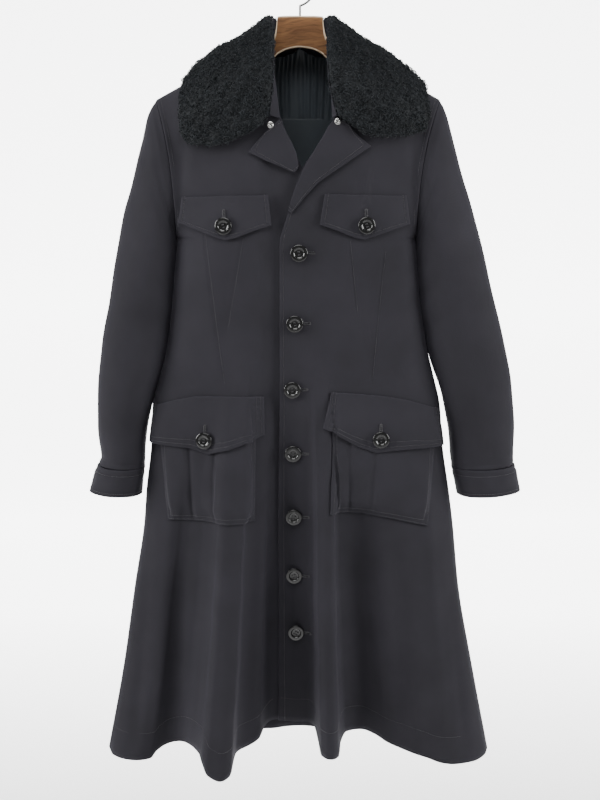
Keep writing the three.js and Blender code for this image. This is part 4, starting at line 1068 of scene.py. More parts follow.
def lift_off(points):
    """Lifts points off the coat, up over the shoulders and out over the front and back."""
    points = points.copy()
    face_sign = np.where(points[:, 1] < 0, -1, 1)
    waiting = np.ones(len(points), bool)
    for _ in range(80):
        x, y, z = points.T
        share = np.clip(x / np.abs(by_side(x, SHOULDER_X[-1], SHOULDER_X[1])), -0.98, 0.98)
        drop = shoulder_line(share) - z
        necks = np.where(face_sign > 0, neck_drop("back", share), 0)
        surface = np.zeros(len(x))
        for face, (sign, _) in FACES.items():
            at, down = locate(face, x, z)
            surface = np.where(face_sign == sign, np.abs(body(face, at, down)[..., 1]), surface)
        steep = np.clip(1 - drop / SHOULDER_ROUND, 0, 1)
        level = np.sqrt(1 - steep ** 2)
        slack = COLLAR_CLEARANCE / np.maximum(0.35, level)
        waiting &= (drop - necks >= -COLLAR_CLEARANCE) & ~((np.abs(y) > surface + slack) & (drop > 0))
        if not waiting.any():
            break
        step = np.stack([0 * x, face_sign * level, steep], -1) * LIFT_STEP
        points += step * waiting[:, None]
    return points


def refine(grid, rows, columns):
    along = through(grid, rows)
    return through(along.transpose(1, 0, 2), columns).transpose(1, 0, 2)


roll, rim = collar_line(COLLAR_ROLL, COLLAR_STEPS), collar_line(COLLAR_EDGE, COLLAR_STEPS)
backing = ruled(roll, rim, COLLAR_ROWS + 1)
backing = lift_off(backing.reshape(-1, 3)).reshape(backing.shape)
pile_out = grid_normals(backing)
pile_out *= 1 if pile_out[COLLAR_STEPS, COLLAR_ROWS // 2, 1] > 0 else -1
ends = np.minimum(np.arange(len(backing)), np.arange(len(backing))[::-1]) / 3
pile_height = curve(FUR_THICKNESS, "q", "t", np.linspace(0, 1, COLLAR_ROWS + 1)) \
    * mix(0.45, 1, smoothstep(ends, 0, 1))[:, None]
pile_top = refine(backing + pile_out * pile_height[..., None], PILE_ALONG, PILE_ACROSS)
pile_base = refine(backing, PILE_ALONG, PILE_ACROSS)
fur_random = np.random.default_rng(11)
LUMPS = [(fur_random.normal(size=3) * fur_random.uniform(0.12, 0.5), fur_random.uniform(0, 6.3))
         for _ in range(40)]
lumps = sum(np.sin(pile_top @ wave + phase) for wave, phase in LUMPS) / math.sqrt(len(LUMPS))
pile_up = unit(pile_top - pile_base)
pile_top = pile_top + pile_up * (1.1 * lumps - CURL_STAND)[..., None]
fur_faces, _ = close_wall(pile_top, False)
fur_body = make_piece("fur_body", np.concatenate([pile_top.reshape(-1, 3), pile_base.reshape(-1, 3)]),
                      fur_faces, black_fur)
declare(fur_body, ["fur_collar"])
print("fur body", len(fur_faces) * 2, "triangles, up to", round(float(pile_height.max())), "mm thick")


# %% Curls by Geometry Nodes
def node_group(name, inputs):
    """An empty geometry tree with named inputs, and its input links."""
    group = bpy.data.node_groups.new(name, "GeometryNodeTree")
    nodes = Nodes(group)
    group.interface.new_socket("Geometry", in_out="OUTPUT", socket_type="NodeSocketGeometry")
    group.interface.new_socket("Geometry", in_out="INPUT", socket_type="NodeSocketGeometry")
    for key, (kind, value) in inputs.items():
        socket = group.interface.new_socket(key, in_out="INPUT", socket_type=kind)
        if value is not None:
            socket.default_value = value
    entry = nodes.add("NodeGroupInput")
    return group, nodes, {o.name: Link(nodes, o) for o in entry.socket.node.outputs if o.name}


def grow(name, source, group, settings):
    """Runs a geometry tree on an object and returns its result as a plain mesh object."""
    modifier = source.modifiers.new(name, "NODES")
    modifier.node_group = group
    for item in group.interface.items_tree:
        if item.in_out == "INPUT" and item.name in settings:
            modifier[item.identifier] = settings[item.name]
    evaluated = source.evaluated_get(bpy.context.evaluated_depsgraph_get())
    mesh = bpy.data.meshes.new_from_object(evaluated)
    source.modifiers.remove(modifier)
    bpy.data.objects.remove(source)
    mesh.name = name
    mesh.polygons.foreach_set("use_smooth", np.ones(len(mesh.polygons), bool))
    grown = bpy.data.objects.new(name, mesh)
    bpy.context.scene.collection.objects.link(grown)
    triangles = sum(len(face.vertices) - 2 for face in mesh.polygons)
    print(f"{name}: {triangles} triangles")
    return grown


def curl_tree():
    group, n, given = node_group("curls", {
        "Spacing": ("NodeSocketFloat", 0.004), "Curl radius": ("NodeSocketFloat", 0.002),
        "Curl height": ("NodeSocketFloat", 0.004), "Strand": ("NodeSocketFloat", 0.0005),
        "Seed": ("NodeSocketInt", 1), "Material": ("NodeSocketMaterial", None),
    })
    scatter = n.add("GeometryNodeDistributePointsOnFaces", {"distribute_method": "POISSON"}, {
        "Mesh": given["Geometry"], "Distance Min": given["Spacing"], "Density Max": 400000.0,
        "Seed": given["Seed"]})
    rotation = Link(n, scatter.socket.node.outputs["Rotation"])
    spiral = n.add("GeometryNodeCurveSpiral", None, {
        "Resolution": 6, "Rotations": 1.35, "Start Radius": given["Curl radius"],
        "End Radius": given["Curl radius"] * 0.35, "Height": given["Curl height"]})
    ring = n.add("GeometryNodeCurvePrimitiveCircle", None, {"Resolution": 3, "Radius": given["Strand"]})
    strand = n.add("GeometryNodeCurveToMesh", None, {"Curve": spiral, "Profile Curve": ring})
    size = n.add("FunctionNodeRandomValue", {"data_type": "FLOAT"}, {2: 0.7, 3: 1.35, 8: given["Seed"]},
                 output=1)
    curls = n.add("GeometryNodeInstanceOnPoints", None, {
        "Points": scatter, "Instance": strand, "Rotation": rotation, "Scale": size})
    turn = n.add("FunctionNodeRandomValue", {"data_type": "FLOAT_VECTOR"},
                 {0: (-0.75, -0.75, 0), 1: (0.75, 0.75, 6.28), 8: given["Seed"] + 1})
    curls = n.add("GeometryNodeRotateInstances", None, {"Instances": curls, "Rotation": turn})
    tone = n.add("FunctionNodeRandomValue", {"data_type": "FLOAT"}, {8: given["Seed"] + 2}, output=1)
    curls = n.add("GeometryNodeStoreNamedAttribute", {"data_type": "FLOAT", "domain": "INSTANCE"},
                  {"Geometry": curls, "Name": "tone", "Value": tone})
    curls = n.add("GeometryNodeRealizeInstances", None, {"Geometry": curls})
    curls = n.add("GeometryNodeSetMaterial", None, {"Geometry": curls, "Material": given["Material"]})
    n.add("NodeGroupOutput", None, {0: curls})
    return group


def grid_object(name, grid, out):
    """A plain grid as an object, its faces turned to the directions given."""
    rows, columns = grid.shape[:2]
    index = np.arange(rows * columns).reshape(rows, columns)
    quads = np.stack([index[:-1, :-1], index[1:, :-1], index[1:, 1:], index[:-1, 1:]], -1).reshape(-1, 4)
    normals = np.cross(grid[1:, :-1] - grid[:-1, :-1], grid[:-1, 1:] - grid[:-1, :-1])
    if np.sum(normals * out[:-1, :-1]) < 0:
        quads = quads[:, ::-1]
    mesh = bpy.data.meshes.new(name)
    mesh.from_pydata((grid.reshape(-1, 3) * MM).tolist(), [], quads.tolist())
    source = bpy.data.objects.new(name, mesh)
    bpy.context.scene.collection.objects.link(source)
    return source


curls = curl_tree()
wrapped = np.concatenate([pile_base[:, :1], pile_top, pile_base[:, -1:]], 1)
wrapped = np.concatenate([wrapped[:1], wrapped, wrapped[-1:]], 0)
wrapped[0, 1:-1], wrapped[-1, 1:-1] = pile_base[0], pile_base[-1]
wrapped_up = np.concatenate([pile_up[:, :1], pile_up, pile_up[:, -1:]], 1)
wrapped_up = np.concatenate([wrapped_up[:1], wrapped_up, wrapped_up[-1:]], 0)
CURL_STRIPS = 4
strip_ends = np.linspace(0, len(wrapped) - 1, CURL_STRIPS + 1).astype(int)
for i, (first, last) in enumerate(zip(strip_ends[:-1], strip_ends[1:])):
    strip = slice(first, last + 1)
    source = grid_object(f"fur_ground_{i + 1}", wrapped[strip], wrapped_up[strip])
    tuft = grow(f"fur_curls_{i + 1}", source, curls, {
        "Spacing": 0.0035, "Curl radius": 0.0027, "Curl height": 0.0036, "Strand": 0.0006,
        "Seed": 20 + i, "Material": black_fur})
    declare(tuft, [])

# %% [markdown]
# ## Buttons and snaps
# A turned button has a raised rim round a shallow dish, and four holes with thread through
# them. It is a lathe form, whose holes a Boolean cuts once. Its copies are turned to face
# out of the cloth where each sits. The two snaps of the collar are smaller lathe forms.

# %% Lathe forms
BUTTON_RADIUS, BUTTON_HEIGHT, DISH, HOLE_RADIUS, HOLE_REACH = 13.2, 6.4, 0.7, 1.15, 2.3
SNAP_RADIUS, SNAP_HEIGHT = 5.0, 2.6


def lathe(profile, sides=48):
    """A closed form turned round Z, from its lowest to its highest point."""
    profile = np.array(profile, float)
    angles = np.linspace(0, 2 * np.pi, sides, endpoint=False)
    rings = np.stack([profile[:, :1] * np.cos(angles), profile[:, :1] * np.sin(angles),
                      profile[:, 1:] + 0 * angles], -1)
    index = np.arange(len(profile) * sides).reshape(len(profile), sides)
    index = np.hstack([index, index[:, :1]])
    quads = np.stack([index[:-1, :-1], index[:-1, 1:], index[1:, 1:], index[1:, :-1]], -1).reshape(-1, 4)
    return rings.reshape(-1, 3), quads


def mesh_from(name, points, faces):
    form = bmesh.new()
    vertices = [form.verts.new(point) for point in points]
    for face in faces:
        form.faces.new([vertices[i] for i in face])
    bmesh.ops.remove_doubles(form, verts=form.verts, dist=1e-4)
    bmesh.ops.recalc_face_normals(form, faces=form.faces)
    mesh = bpy.data.meshes.new(name)
    form.to_mesh(mesh)
    form.free()
    return mesh


def rounded_profile(points):
    """Rounds the corners of a profile by cutting each corner twice."""
    points = np.array(points, float)
    for _ in range(2):
        before, after = mix(points[:-1], points[1:], 0.25), mix(points[:-1], points[1:], 0.75)
        points = np.concatenate([points[:1], np.stack([before, after], 1).reshape(-1, 2), points[-1:]])
    return points


def button_mesh():
    r, h = BUTTON_RADIUS, BUTTON_HEIGHT
    profile = rounded_profile([
        (0, 0), (r * 0.28, 0), (r * 0.26, h * 0.42), (r * 0.9, h * 0.46), (r, h * 0.6), (r, h * 0.84),
        (r * 0.94, h * 0.96), (r * 0.72, h), (r * 0.62, h), (r * 0.57, h * 0.84),
        (r * 0.42, h * DISH), (0, h * DISH)])
    profile[[0, -1], 0] = 0
    disc = bpy.data.objects.new("button_blank", mesh_from("button_blank", *lathe(profile)))
    bpy.context.scene.collection.objects.link(disc)
    drills = []
    for x, y in ((1, 1), (-1, 1), (-1, -1), (1, -1)):
        low, high = h * 0.3, h * 1.2
        points, faces = lathe([(0, low), (HOLE_RADIUS, low), (HOLE_RADIUS, high), (0, high)], 16)
        points = points + np.array((x * HOLE_REACH, y * HOLE_REACH, 0))
        drill = bpy.data.objects.new("drill", mesh_from("drill", points, faces))
        bpy.context.scene.collection.objects.link(drill)
        cut = disc.modifiers.new("hole", "BOOLEAN")
        cut.operation, cut.solver, cut.object = "DIFFERENCE", "EXACT", drill
        drills.append(drill)
    cut_disc = disc.evaluated_get(bpy.context.evaluated_depsgraph_get())
    mesh = bpy.data.meshes.new_from_object(cut_disc)
    for used in (disc, *drills):
        bpy.data.objects.remove(used)
    return mesh


def set_on_front(mesh, name, x, z, out, turn, material, node):
    """Copies a form onto the front, facing out of the cloth. Returns its axes for what sits on it."""
    place = on_face("front", x, z, out)
    share, down = locate("front", x, z)
    normal = unit(outward("front", share, down))
    level = unit(np.cross((0, 0, 1), normal))
    up = np.cross(normal, level)
    axes = np.stack([math.cos(turn) * level + math.sin(turn) * up,
                     -math.sin(turn) * level + math.cos(turn) * up, normal], 1)
    points = np.empty(len(mesh.vertices) * 3)
    mesh.vertices.foreach_get("co", points)
    copy = mesh.copy()
    copy.name = name
    copy.vertices.foreach_set("co", ((points.reshape(-1, 3) @ axes.T + place) * MM).ravel())
    copy.polygons.foreach_set("use_smooth", np.ones(len(copy.polygons), bool))
    copy.set_sharp_from_angle(angle=math.radians(42))
    copy.materials.clear()
    copy.materials.append(material)
    piece = bpy.data.objects.new(name, copy)
    bpy.context.scene.collection.objects.link(piece)
    declare(piece, [node])
    return place, axes


# %% Buttons in their places
FRONT_BUTTONS = [(-1.5, -422), (-8, -530), (-12, -634), (-11, -738), (-10, -843), (-9.5, -943),
                 (-6.5, -1042)]
FLAP_BUTTONS = {("chest", -1): (-114, -381, 4.8), ("chest", 1): (99, -380, 4.8),
                ("hip", -1): (-146, -713, 11), ("hip", 1): (125, -711, 11)}
FRONT_BUTTON_LIFT = 0.8
SNAPS = {-1: (-44, -232, 2.5), 1: (56, -227, 2.8)}
button_form = button_mesh()
button_random = np.random.default_rng(7)
seats = []
for i, (x, z) in enumerate(FRONT_BUTTONS):
    turn = button_random.uniform(-0.5, 0.5)
    seats.append(set_on_front(button_form, f"closing_button_{i + 1}", x, z, FRONT_BUTTON_LIFT, turn,
                              polished_button, f"front_button_{i + 1}"))
for (kind, side), (x, z, lift) in FLAP_BUTTONS.items():
    turn = button_random.uniform(-0.5, 0.5)
    seats.append(set_on_front(button_form, f"{names[side]}_{kind}_flap_button", x, z, ON_PANEL + lift, turn,
                              polished_button, f"{kind}_button_{names[side]}"))
print(len(seats), "buttons of", len(button_form.polygons), "faces")

SNAP_PROFILE = np.array([(0, 0), (0.86, 0), (1, 0.25), (1, 0.5), (0.72, 0.62), (0.66, 1), (0.5, 1),
                         (0.42, 0.3), (0, 0.25)]) * (SNAP_RADIUS, SNAP_HEIGHT)
snap_form = mesh_from("snap", *lathe(rounded_profile(SNAP_PROFILE)))
for side, (x, z, lift) in SNAPS.items():
    set_on_front(snap_form, f"{names[side]}_snap_socket", x, z, ON_PANEL + lift, 0, nickel,
                 f"collar_snap_{names[side]}")


# %% Tubes for thread and wire
def tube(path, radius, sides=8, pole=(0, 1, 0)):
    """Points and faces of a tube along a path, with closed ends."""
    path = np.asarray(path, float)
    tangent = unit(np.gradient(path, axis=0))
    side = unit(np.cross(tangent, pole))
    over = np.cross(side, tangent)
    angles = np.linspace(0, 2 * np.pi, sides, endpoint=False)
    radius = np.broadcast_to(radius, len(path))[:, None, None]
    turned = np.cos(angles)[:, None] * side[:, None] + np.sin(angles)[:, None] * over[:, None]
    rings = path[:, None] + radius * turned
    points = np.concatenate([rings.reshape(-1, 3), path[:1], path[-1:]])
    index = np.arange(len(path) * sides).reshape(len(path), sides)
    index = np.hstack([index, index[:, :1]])
    quads = np.stack([index[:-1, :-1], index[:-1, 1:], index[1:, 1:], index[1:, :-1]], -1).reshape(-1, 4)
    low, high = len(points) - 2, len(points) - 1
    caps = [(index[0, k + 1], index[0, k], low) for k in range(sides)]
    caps += [(index[-1, k], index[-1, k + 1], high) for k in range(sides)]
    return points, [list(face) for face in quads] + [list(face) for face in caps]


def joined_tubes(name, tubes, material, nodes):
    """One piece of one or more tubes."""
    points, faces = [], []
    for more_points, more_faces in tubes:
        shift = sum(len(part) for part in points)
        points.append(more_points)
        faces += [[i + shift for i in face] for face in more_faces]
    mesh = mesh_from(name, np.concatenate(points) * MM, faces) if len(tubes) == 1 else None
    if mesh is None:
        mesh = bpy.data.meshes.new(name)
        mesh.from_pydata((np.concatenate(points) * MM).tolist(), [], faces)
    mesh.polygons.foreach_set("use_smooth", np.ones(len(mesh.polygons), bool))
    mesh.materials.append(material)
    piece = bpy.data.objects.new(name, mesh)
    bpy.context.scene.collection.objects.link(piece)
    return declare(piece, nodes)


THREAD_RADIUS = 0.36
threads = []
for place, axes in seats:
    for row in (-1, 1):
        for strand in (-0.35, 0.35):
            across = np.linspace(-HOLE_REACH, HOLE_REACH, 7)
            height = BUTTON_HEIGHT * DISH + 0.25 - 1.6 * (np.abs(across) / HOLE_REACH) ** 4
            local = np.stack([across, row * HOLE_REACH + strand + 0 * across, height], -1)
            threads.append(tube(local @ axes.T + place, THREAD_RADIUS, 6, pole=tuple(axes[:, 2])))
joined_tubes("button_threads", threads, black_thread, [])
print(len(threads), "strands of thread")

# %% [markdown]
# ## Hanger
# The hanger is a shaped board with a tall plate at its middle, which shows in the neck. Its
# arms carry the shoulders. Its sections are rounded boxes along a table, and its corners
# carry the `edge` attribute, where the lacquer is worn. The hook is a bent wire.

# %% Hanger body and hook
WIRE_RADIUS, HOOK_RADIUS, STEM_SHARE = 1.7, 22, 0.2
HANGER = table("x top low half", [
    (-206, -190, -206, 17), (-196, -184.5, -209, 21), (-150, -158, -188, 17), (-100, -130, -160, 12),
    (-60, -108.5, -138, 9), (-40, -96, -127, 7.5), (-37, -84, -125, 7), (-34, -66, -122, 7),
    (-16, -65, -114, 7), (0, -65, -112, 7), (16, -65, -114, 7), (34, -66, -122, 7), (37, -84, -125, 7),
    (40, -96, -127, 7.5), (60, -108.5, -138, 9), (100, -130.5, -160, 12), (150, -160, -190, 17),
    (190, -184.5, -209, 21), (200, -190, -206, 17),
])
CORNER, SECTION_POINTS, BARE_WIDTH, END_ROUND = 2.2, 96, 2.4, 8
HANGER_LOW_X, HANGER_HIGH_X = HANGER["x"][0], HANGER["x"][-1]


def hanger():
    plate_sides = [np.linspace(*ends, 24) for ends in ((-42, -32), (32, 42))]
    x = np.unique(np.concatenate([np.linspace(HANGER_LOW_X, HANGER_HIGH_X, 110), *plate_sides]))
    top, low, half = (curve(HANGER, "x", key, x) for key in ("top", "low", "half"))
    end = np.minimum(x - HANGER_LOW_X, HANGER_HIGH_X - x)
    shrink = 1 - 0.5 * (1 - np.clip(end / END_ROUND, 0, 1)) ** 2
    angles = np.linspace(0, 2 * np.pi, SECTION_POINTS, endpoint=False) + np.pi / SECTION_POINTS
    flat_y, flat_z = np.cos(angles), np.sin(angles)
    reach = np.maximum(np.abs(flat_y), np.abs(flat_z))
    box_y, box_z = flat_y / reach, flat_z / reach
    middle, tall = (top + low) / 2, (top - low) / 2 * shrink
    wide = half * shrink * 0.98
    y = box_y * wide[:, None]
    z = box_z * tall[:, None]
    over_y = np.maximum(np.abs(y) - (wide[:, None] - CORNER), 0)
    over_z = np.maximum(np.abs(z) - (tall[:, None] - CORNER), 0)
    out = np.maximum(np.hypot(over_y, over_z), 1e-6)
    pull = np.where((over_y > 0) & (over_z > 0), np.minimum(1, CORNER / out), 1)
    y = np.sign(y) * (np.abs(y) - over_y * (1 - pull))
    z = np.sign(z) * (np.abs(z) - over_z * (1 - pull))
    to_top = (top[:, None] - z - middle[:, None]) / np.hypot(1, np.gradient(top, x))[:, None]
    to_low = (z + middle[:, None] - low[:, None]) / np.hypot(1, np.gradient(low, x))[:, None]
    bare = np.clip(1.4 - np.minimum(to_top, to_low) / BARE_WIDTH, 0, 1)
    edge = np.where(y < -0.5 * wide[:, None], bare, 0)
    points = np.stack([x[:, None] + 0 * y, y, z + middle[:, None]], -1)
    rows, columns = points.shape[:2]
    index = np.arange(rows * columns).reshape(rows, columns)
    index = np.hstack([index, index[:, :1]])
    faces = np.stack([index[:-1, :-1], index[:-1, 1:], index[1:, 1:], index[1:, :-1]], -1)
    faces = faces.reshape(-1, 4).tolist()
    faces += [index[0, :-1][::-1].tolist(), index[-1, :-1].tolist()]
    mesh = bpy.data.meshes.new("hanger_wood")
    mesh.from_pydata((points.reshape(-1, 3) * MM).tolist(), [], faces)
    mesh.polygons.foreach_set("use_smooth", np.ones(len(faces), bool))
    mesh.attributes.new("edge", "FLOAT", "POINT").data.foreach_set("value", edge.ravel())
    mesh.materials.append(lacquered_wood)
    piece = bpy.data.objects.new("hanger_wood", mesh)
    bpy.context.scene.collection.objects.link(piece)
    return declare(piece, ["hanger_body"])


def hook_path(t):
    radius = HOOK_RADIUS + WIRE_RADIUS
    bend = -2.1 * radius
    turn = np.clip((t - STEM_SHARE) / (1 - STEM_SHARE), 0, 1)
    angle = mix(-np.pi / 2, 1.04 * np.pi, turn)
    eased = smoothstep(turn, 0, 0.3)
    arc_z = -HOOK_RADIUS + radius * np.sin(angle)
    z = np.where(turn < 0.3, mix(bend, arc_z, eased), arc_z)
    z = np.where(t < STEM_SHARE, mix(-64.7, bend, t / STEM_SHARE), z)
    return np.stack([radius * np.cos(angle) * eased ** 0.6, 0 * t, z], -1)


hanger()
along = np.linspace(0, 1, 200)
tip = np.sqrt(np.clip((1 - along) / 0.012, 0.02, 1))
joined_tubes("hanger_wire", [tube(hook_path(along), WIRE_RADIUS * tip, 16)], hook_steel,
             ["hanger_hook"])
print("hook wire", 2 * WIRE_RADIUS, "mm")

# %% [markdown]
# ## Stitches and buttonholes
# Top-stitches hold every edge of the coat. Each row is a path on the cloth that carries its
# outward direction. Geometry Nodes lay one small capsule of thread per stitch along it. For
# a buttonhole the same tree turns each stitch across the path and sets them close.

# %% Stitch paths
STITCH, STITCH_GAP, STITCH_RADIUS, STITCH_LIFT = 2.4, 1.0, 0.22, 0.12
seam_paths, hole_paths = [], []


def sample(grid, row, column):
    """Points of a grid at fractional rows and columns."""
    row, column = np.clip(row, 0, len(grid) - 1.001), np.clip(column, 0, grid.shape[1] - 1.001)
    r, c = row.astype(int), column.astype(int)
    fr, fc = (row - r)[:, None], (column - c)[:, None]
    return mix(mix(grid[r, c], grid[r, c + 1], fc), mix(grid[r + 1, c], grid[r + 1, c + 1], fc), fr)


def round_edges(grid, distance, top=False):
    """A path round a laid piece's free edges, a distance inside them."""
    rows, columns = grid.shape[0] - 1, grid.shape[1] - 1
    across, down = lengths(grid, False)
    r_in = distance / down[-1].mean() * rows
    c_in = distance / across[:, -1].max() * columns
    steps = np.linspace(0, 1, 120)
    parts = [(mix(r_in if top else 0, rows - r_in, steps), c_in + 0 * steps),
             (rows - r_in + 0 * steps, mix(c_in, columns - c_in, steps)),
             (mix(rows - r_in, r_in if top else 0, steps), columns - c_in + 0 * steps)]
    if top:
        parts.append((r_in + 0 * steps, mix(columns - c_in, c_in, steps)))
    row, column = (np.concatenate([part[k] for part in parts]) for k in (0, 1))
    normals = grid_normals(grid)
    normals = normals if normals[rows // 2, columns // 2, 1] < 0 else -normals
    return sample(grid, row, column), sample(normals, row, column)


def on_body(face, share, down):
    share, down = np.broadcast_arrays(np.asarray(share, float), np.asarray(down, float))
    point, out = body(face, share, down), outward(face, share, down)
    lift = relief(face, point[..., 0], point[..., 2])
    return point + out * lift[..., None], out


for (kind, side), grid in flap_grids.items():
    for distance in FLAP_STITCHES[kind]:
        seam_paths.append(round_edges(grid, distance))
for side, grid in pocket_grids.items():
    seam_paths.append(round_edges(grid, 2.5))
    seam_paths.append(round_edges(grid, 9.0))
for side, grid in lapel_grids.items():
    seam_paths.append(round_edges(grid, FLAP_EDGE))
HEM_TURN_UP, EDGE_STITCH = 45, 6
HEM_STITCH_DOWN = 2 - HEM_TURN_UP / (UNDERARM_Z - HEM_Z)
edge_down = np.linspace(0.78, 1.998, 500)
inside_edge = edge_share(edge_down, "upper") + EDGE_STITCH / SHOULDER_X[1]
seam_paths.append(on_body("front", inside_edge, edge_down))
CUFF_STITCHES, DART_HALF, DART_STITCH = (0.23, 0.85), 3, 2.6
seam_paths.append(on_body("front", np.linspace(-0.995, -0.13, 400), HEM_STITCH_DOWN))
seam_paths.append(on_body("front", np.linspace(-0.09, 0.995, 500), HEM_STITCH_DOWN))
seam_paths.append(on_body("back", np.linspace(-0.995, 0.995, 900), HEM_STITCH_DOWN))
for side in (-1, 1):
    for face in ("front", "back"):
        seam_paths.append(on_body(face, side * 0.972, np.linspace(0.03, 0.97, 200)))
    seam_paths.append(on_body("back", side * 0.012, np.linspace(0.12, 1.99, 500)))


def around_tube(grid, row):
    out = outward_of(grid)
    points, normals = grid[row], out[row]
    return np.concatenate([points, points[:1]]), np.concatenate([normals, normals[:1]])


for side, grid in cuff_grids.items():
    seam_paths += [around_tube(grid, round(place * CUFF_ROWS)) for place in CUFF_STITCHES]

# beside each dart on the fronts
for x0, z0, x1, z1, half, _ in zip(*CREASES["front"].values()):
    if half < DART_HALF:
        t = np.linspace(0.02, 0.98, 80)
        x, z = mix(x0, x1, t) + DART_STITCH, mix(z0, z1, t)
        share, down = locate("front", x, z)
        seam_paths.append(on_body("front", share, down))


def buttonhole(x, z, out, along, length):
    """The long thin loop of a buttonhole, as a path on the cloth."""
    t = np.linspace(0, 2 * np.pi, 60)
    reach, across = np.cos(t) * length / 2, np.clip(np.sin(t) * 3, -1, 1) * 1.5
    dx, dz = along
    points = on_face("front", x + reach * dx - across * dz, z + reach * dz + across * dx, out)
    share, down = locate("front", x + 0 * t, z + 0 * t)
    return points, outward("front", share, down)


for x, z in FRONT_BUTTONS:
    hole_paths.append(buttonhole(x + 8, z, 0.1, (1, 0), 32))
for (kind, side), (x, z, lift) in FLAP_BUTTONS.items():
    hole_paths.append(buttonhole(x, z + 8, ON_PANEL + lift - (0 if kind == "chest" else 1.5), (0, 1), 32))
print(len(seam_paths), "rows of stitches,", len(hole_paths), "buttonholes")


# %% Stitches by Geometry Nodes
def stitch_tree():
    group, n, given = node_group("stitches", {
        "Pitch": ("NodeSocketFloat", 0.0034), "Length": ("NodeSocketFloat", 0.0024),
        "Radius": ("NodeSocketFloat", 0.0002), "Across": ("NodeSocketFloat", 0.0),
        "Material": ("NodeSocketMaterial", None),
    })
    path = n.add("GeometryNodeMeshToCurve", None, {"Mesh": given["Geometry"]})
    path = n.add("GeometryNodeResampleCurve", {"mode": "LENGTH"}, {"Curve": path, "Length": given["Pitch"]})
    tangent = n.add("GeometryNodeInputTangent")
    out = n.add("GeometryNodeInputNamedAttribute", {"data_type": "FLOAT_VECTOR"}, {"Name": "out"})
    across = n.add("ShaderNodeVectorMath", {"operation": "CROSS_PRODUCT"}, {0: tangent, 1: out})
    along = n.add("ShaderNodeMix", {"data_type": "VECTOR"}, {0: given["Across"], 4: tangent, 5: across},
                  output=1)
    turned = n.add("FunctionNodeAlignRotationToVector", {"axis": "Z"}, {"Vector": along})
    thread = n.add("GeometryNodeMeshCylinder", {"fill_type": "TRIANGLE_FAN"}, {
        "Vertices": 4, "Radius": given["Radius"], "Depth": given["Length"]})
    stitches = n.add("GeometryNodeInstanceOnPoints", None, {
        "Points": path, "Instance": thread, "Rotation": turned})
    stitches = n.add("GeometryNodeRealizeInstances", None, {"Geometry": stitches})
    stitches = n.add("GeometryNodeSetMaterial", None, {"Geometry": stitches, "Material": given["Material"]})
    n.add("NodeGroupOutput", None, {0: stitches})
    return group


def path_object(name, paths, lift):
    points = np.concatenate([path + out * lift for path, out in paths])
    outs = np.concatenate([out for _, out in paths])
    edges, shift = [], 0
    for path, _ in paths:
        edges += [(shift + k, shift + k + 1) for k in range(len(path) - 1)]
        shift += len(path)
    mesh = bpy.data.meshes.new(name)
    mesh.from_pydata((points * MM).tolist(), edges, [])
    mesh.attributes.new("out", "FLOAT_VECTOR", "POINT").data.foreach_set("vector", outs.ravel())
    source = bpy.data.objects.new(name, mesh)
    bpy.context.scene.collection.objects.link(source)
    return source


stitch_group = stitch_tree()
top_stitches = grow("top_stitches", path_object("seams", seam_paths, STITCH_LIFT), stitch_group, {
    "Pitch": (STITCH + STITCH_GAP) * MM, "Length": STITCH * MM, "Radius": STITCH_RADIUS * MM, "Across": 0.0,
    "Material": black_thread})
buttonholes = grow("buttonholes", path_object("holes", hole_paths, STITCH_LIFT), stitch_group, {
    "Pitch": 0.75 * MM, "Length": 1.9 * MM, "Radius": 0.25 * MM, "Across": 1.0, "Material": black_thread})
for piece in (top_stitches, buttonholes):
    declare(piece, [])

# %% [markdown]
# ## Stage and light
# The photograph has a white ground and broad soft light from the front and above. A pale
# sheet runs from the floor up far behind the coat, where it glows as a lit panel does, so
# that it stays white without a rim of light on the coat. Area lights stand in for windows.

# %% Stage and light
FLOOR_Z, STAGE_BACK, STAGE_WIDTH, STAGE_BEND = -1.80, 4.6, 2.8, 0.9
PANEL_GLOW = 5


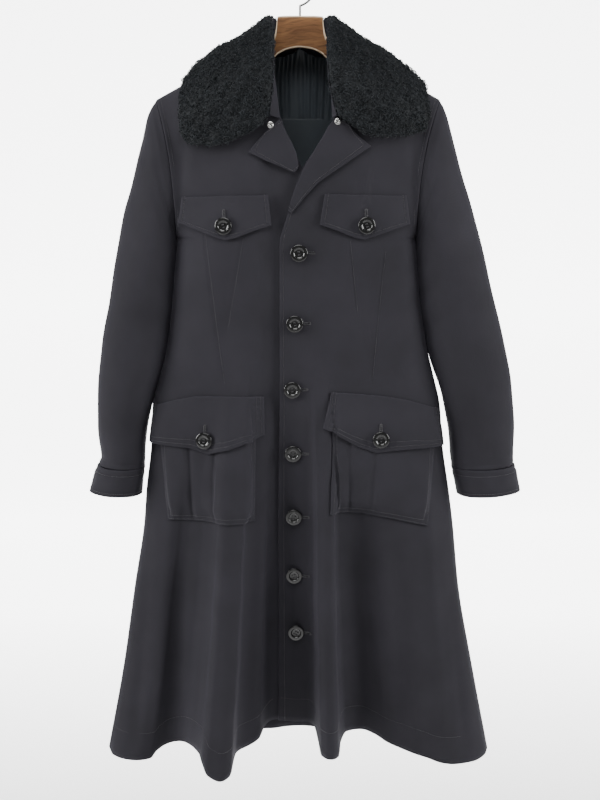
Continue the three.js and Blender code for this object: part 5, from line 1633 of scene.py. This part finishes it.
def backdrop():
    turn = np.linspace(0, np.pi / 2, 16)
    line = [(-4.5, FLOOR_Z), (0.5, FLOOR_Z), (1.6, FLOOR_Z), (2.7, FLOOR_Z)]
    line += [(STAGE_BACK - STAGE_BEND + STAGE_BEND * math.sin(a), FLOOR_Z + STAGE_BEND * (1 - math.cos(a)))
             for a in turn]
    line += [(STAGE_BACK, 2.6)]
    points = [(x, y, z) for y, z in line for x in (-STAGE_WIDTH, STAGE_WIDTH)]
    faces = [(2 * i, 2 * i + 1, 2 * i + 3, 2 * i + 2) for i in range(len(line) - 1)]
    mesh = bpy.data.meshes.new("backdrop")
    mesh.from_pydata(points, [], faces)
    mesh.polygons.foreach_set("use_smooth", np.ones(len(faces), bool))
    material, n = new_material("white_paper")
    place = n.add("ShaderNodeTexCoord", output=3)
    deep = n.add("ShaderNodeSeparateXYZ", None, {0: place}, output=1)
    lit = n.add("ShaderNodeMapRange", None, {0: deep, 1: 0.3, 2: 2.4, 3: 0.0, 4: 1.0})
    finish_material(n, {
        "Base Color": n.blend(n.noise(place, 3.0), grey(0.88), grey(0.9)), "Roughness": 0.9,
        "Emission Color": n.blend(lit, grey(0), grey(1)), "Emission Strength": PANEL_GLOW,
    })
    mesh.materials.append(material)
    sheet = bpy.data.objects.new("backdrop", mesh)
    bpy.context.scene.collection.objects.link(sheet)


def softbox(name, place, target, size, watts, spread=180):
    light = bpy.data.lights.new(name, "AREA")
    light.spread = math.radians(spread)
    light.shape, light.size, light.size_y, light.energy = "RECTANGLE", size[0], size[1], watts
    lamp = bpy.data.objects.new(name, light)
    bpy.context.scene.collection.objects.link(lamp)
    lamp.location = place
    way = np.array(target, float) - np.array(place, float)
    lamp.rotation_euler = (math.acos(-way[2] / np.linalg.norm(way)), 0,
                           math.atan2(way[1], way[0]) - math.pi / 2)


backdrop()
softbox("front_light", (-0.3, -1.6, 1.1), (0, 0, -0.35), (2.0, 1.2), 11.5, spread=85)
softbox("left_window", (-2.5, -1.0, 0.0), (0, 0, -0.6), (1.2, 1.8), 104)
softbox("right_window", (2.5, -1.0, 0.0), (0, 0, -0.6), (1.2, 1.8), 98)
world = bpy.data.worlds.new("studio")
bpy.context.scene.world = world
world.use_nodes = True
world.node_tree.nodes["Background"].inputs["Color"].default_value = (1, 1, 1, 1)
world.node_tree.nodes["Background"].inputs["Strength"].default_value = 0.22
print("stage and lights set")
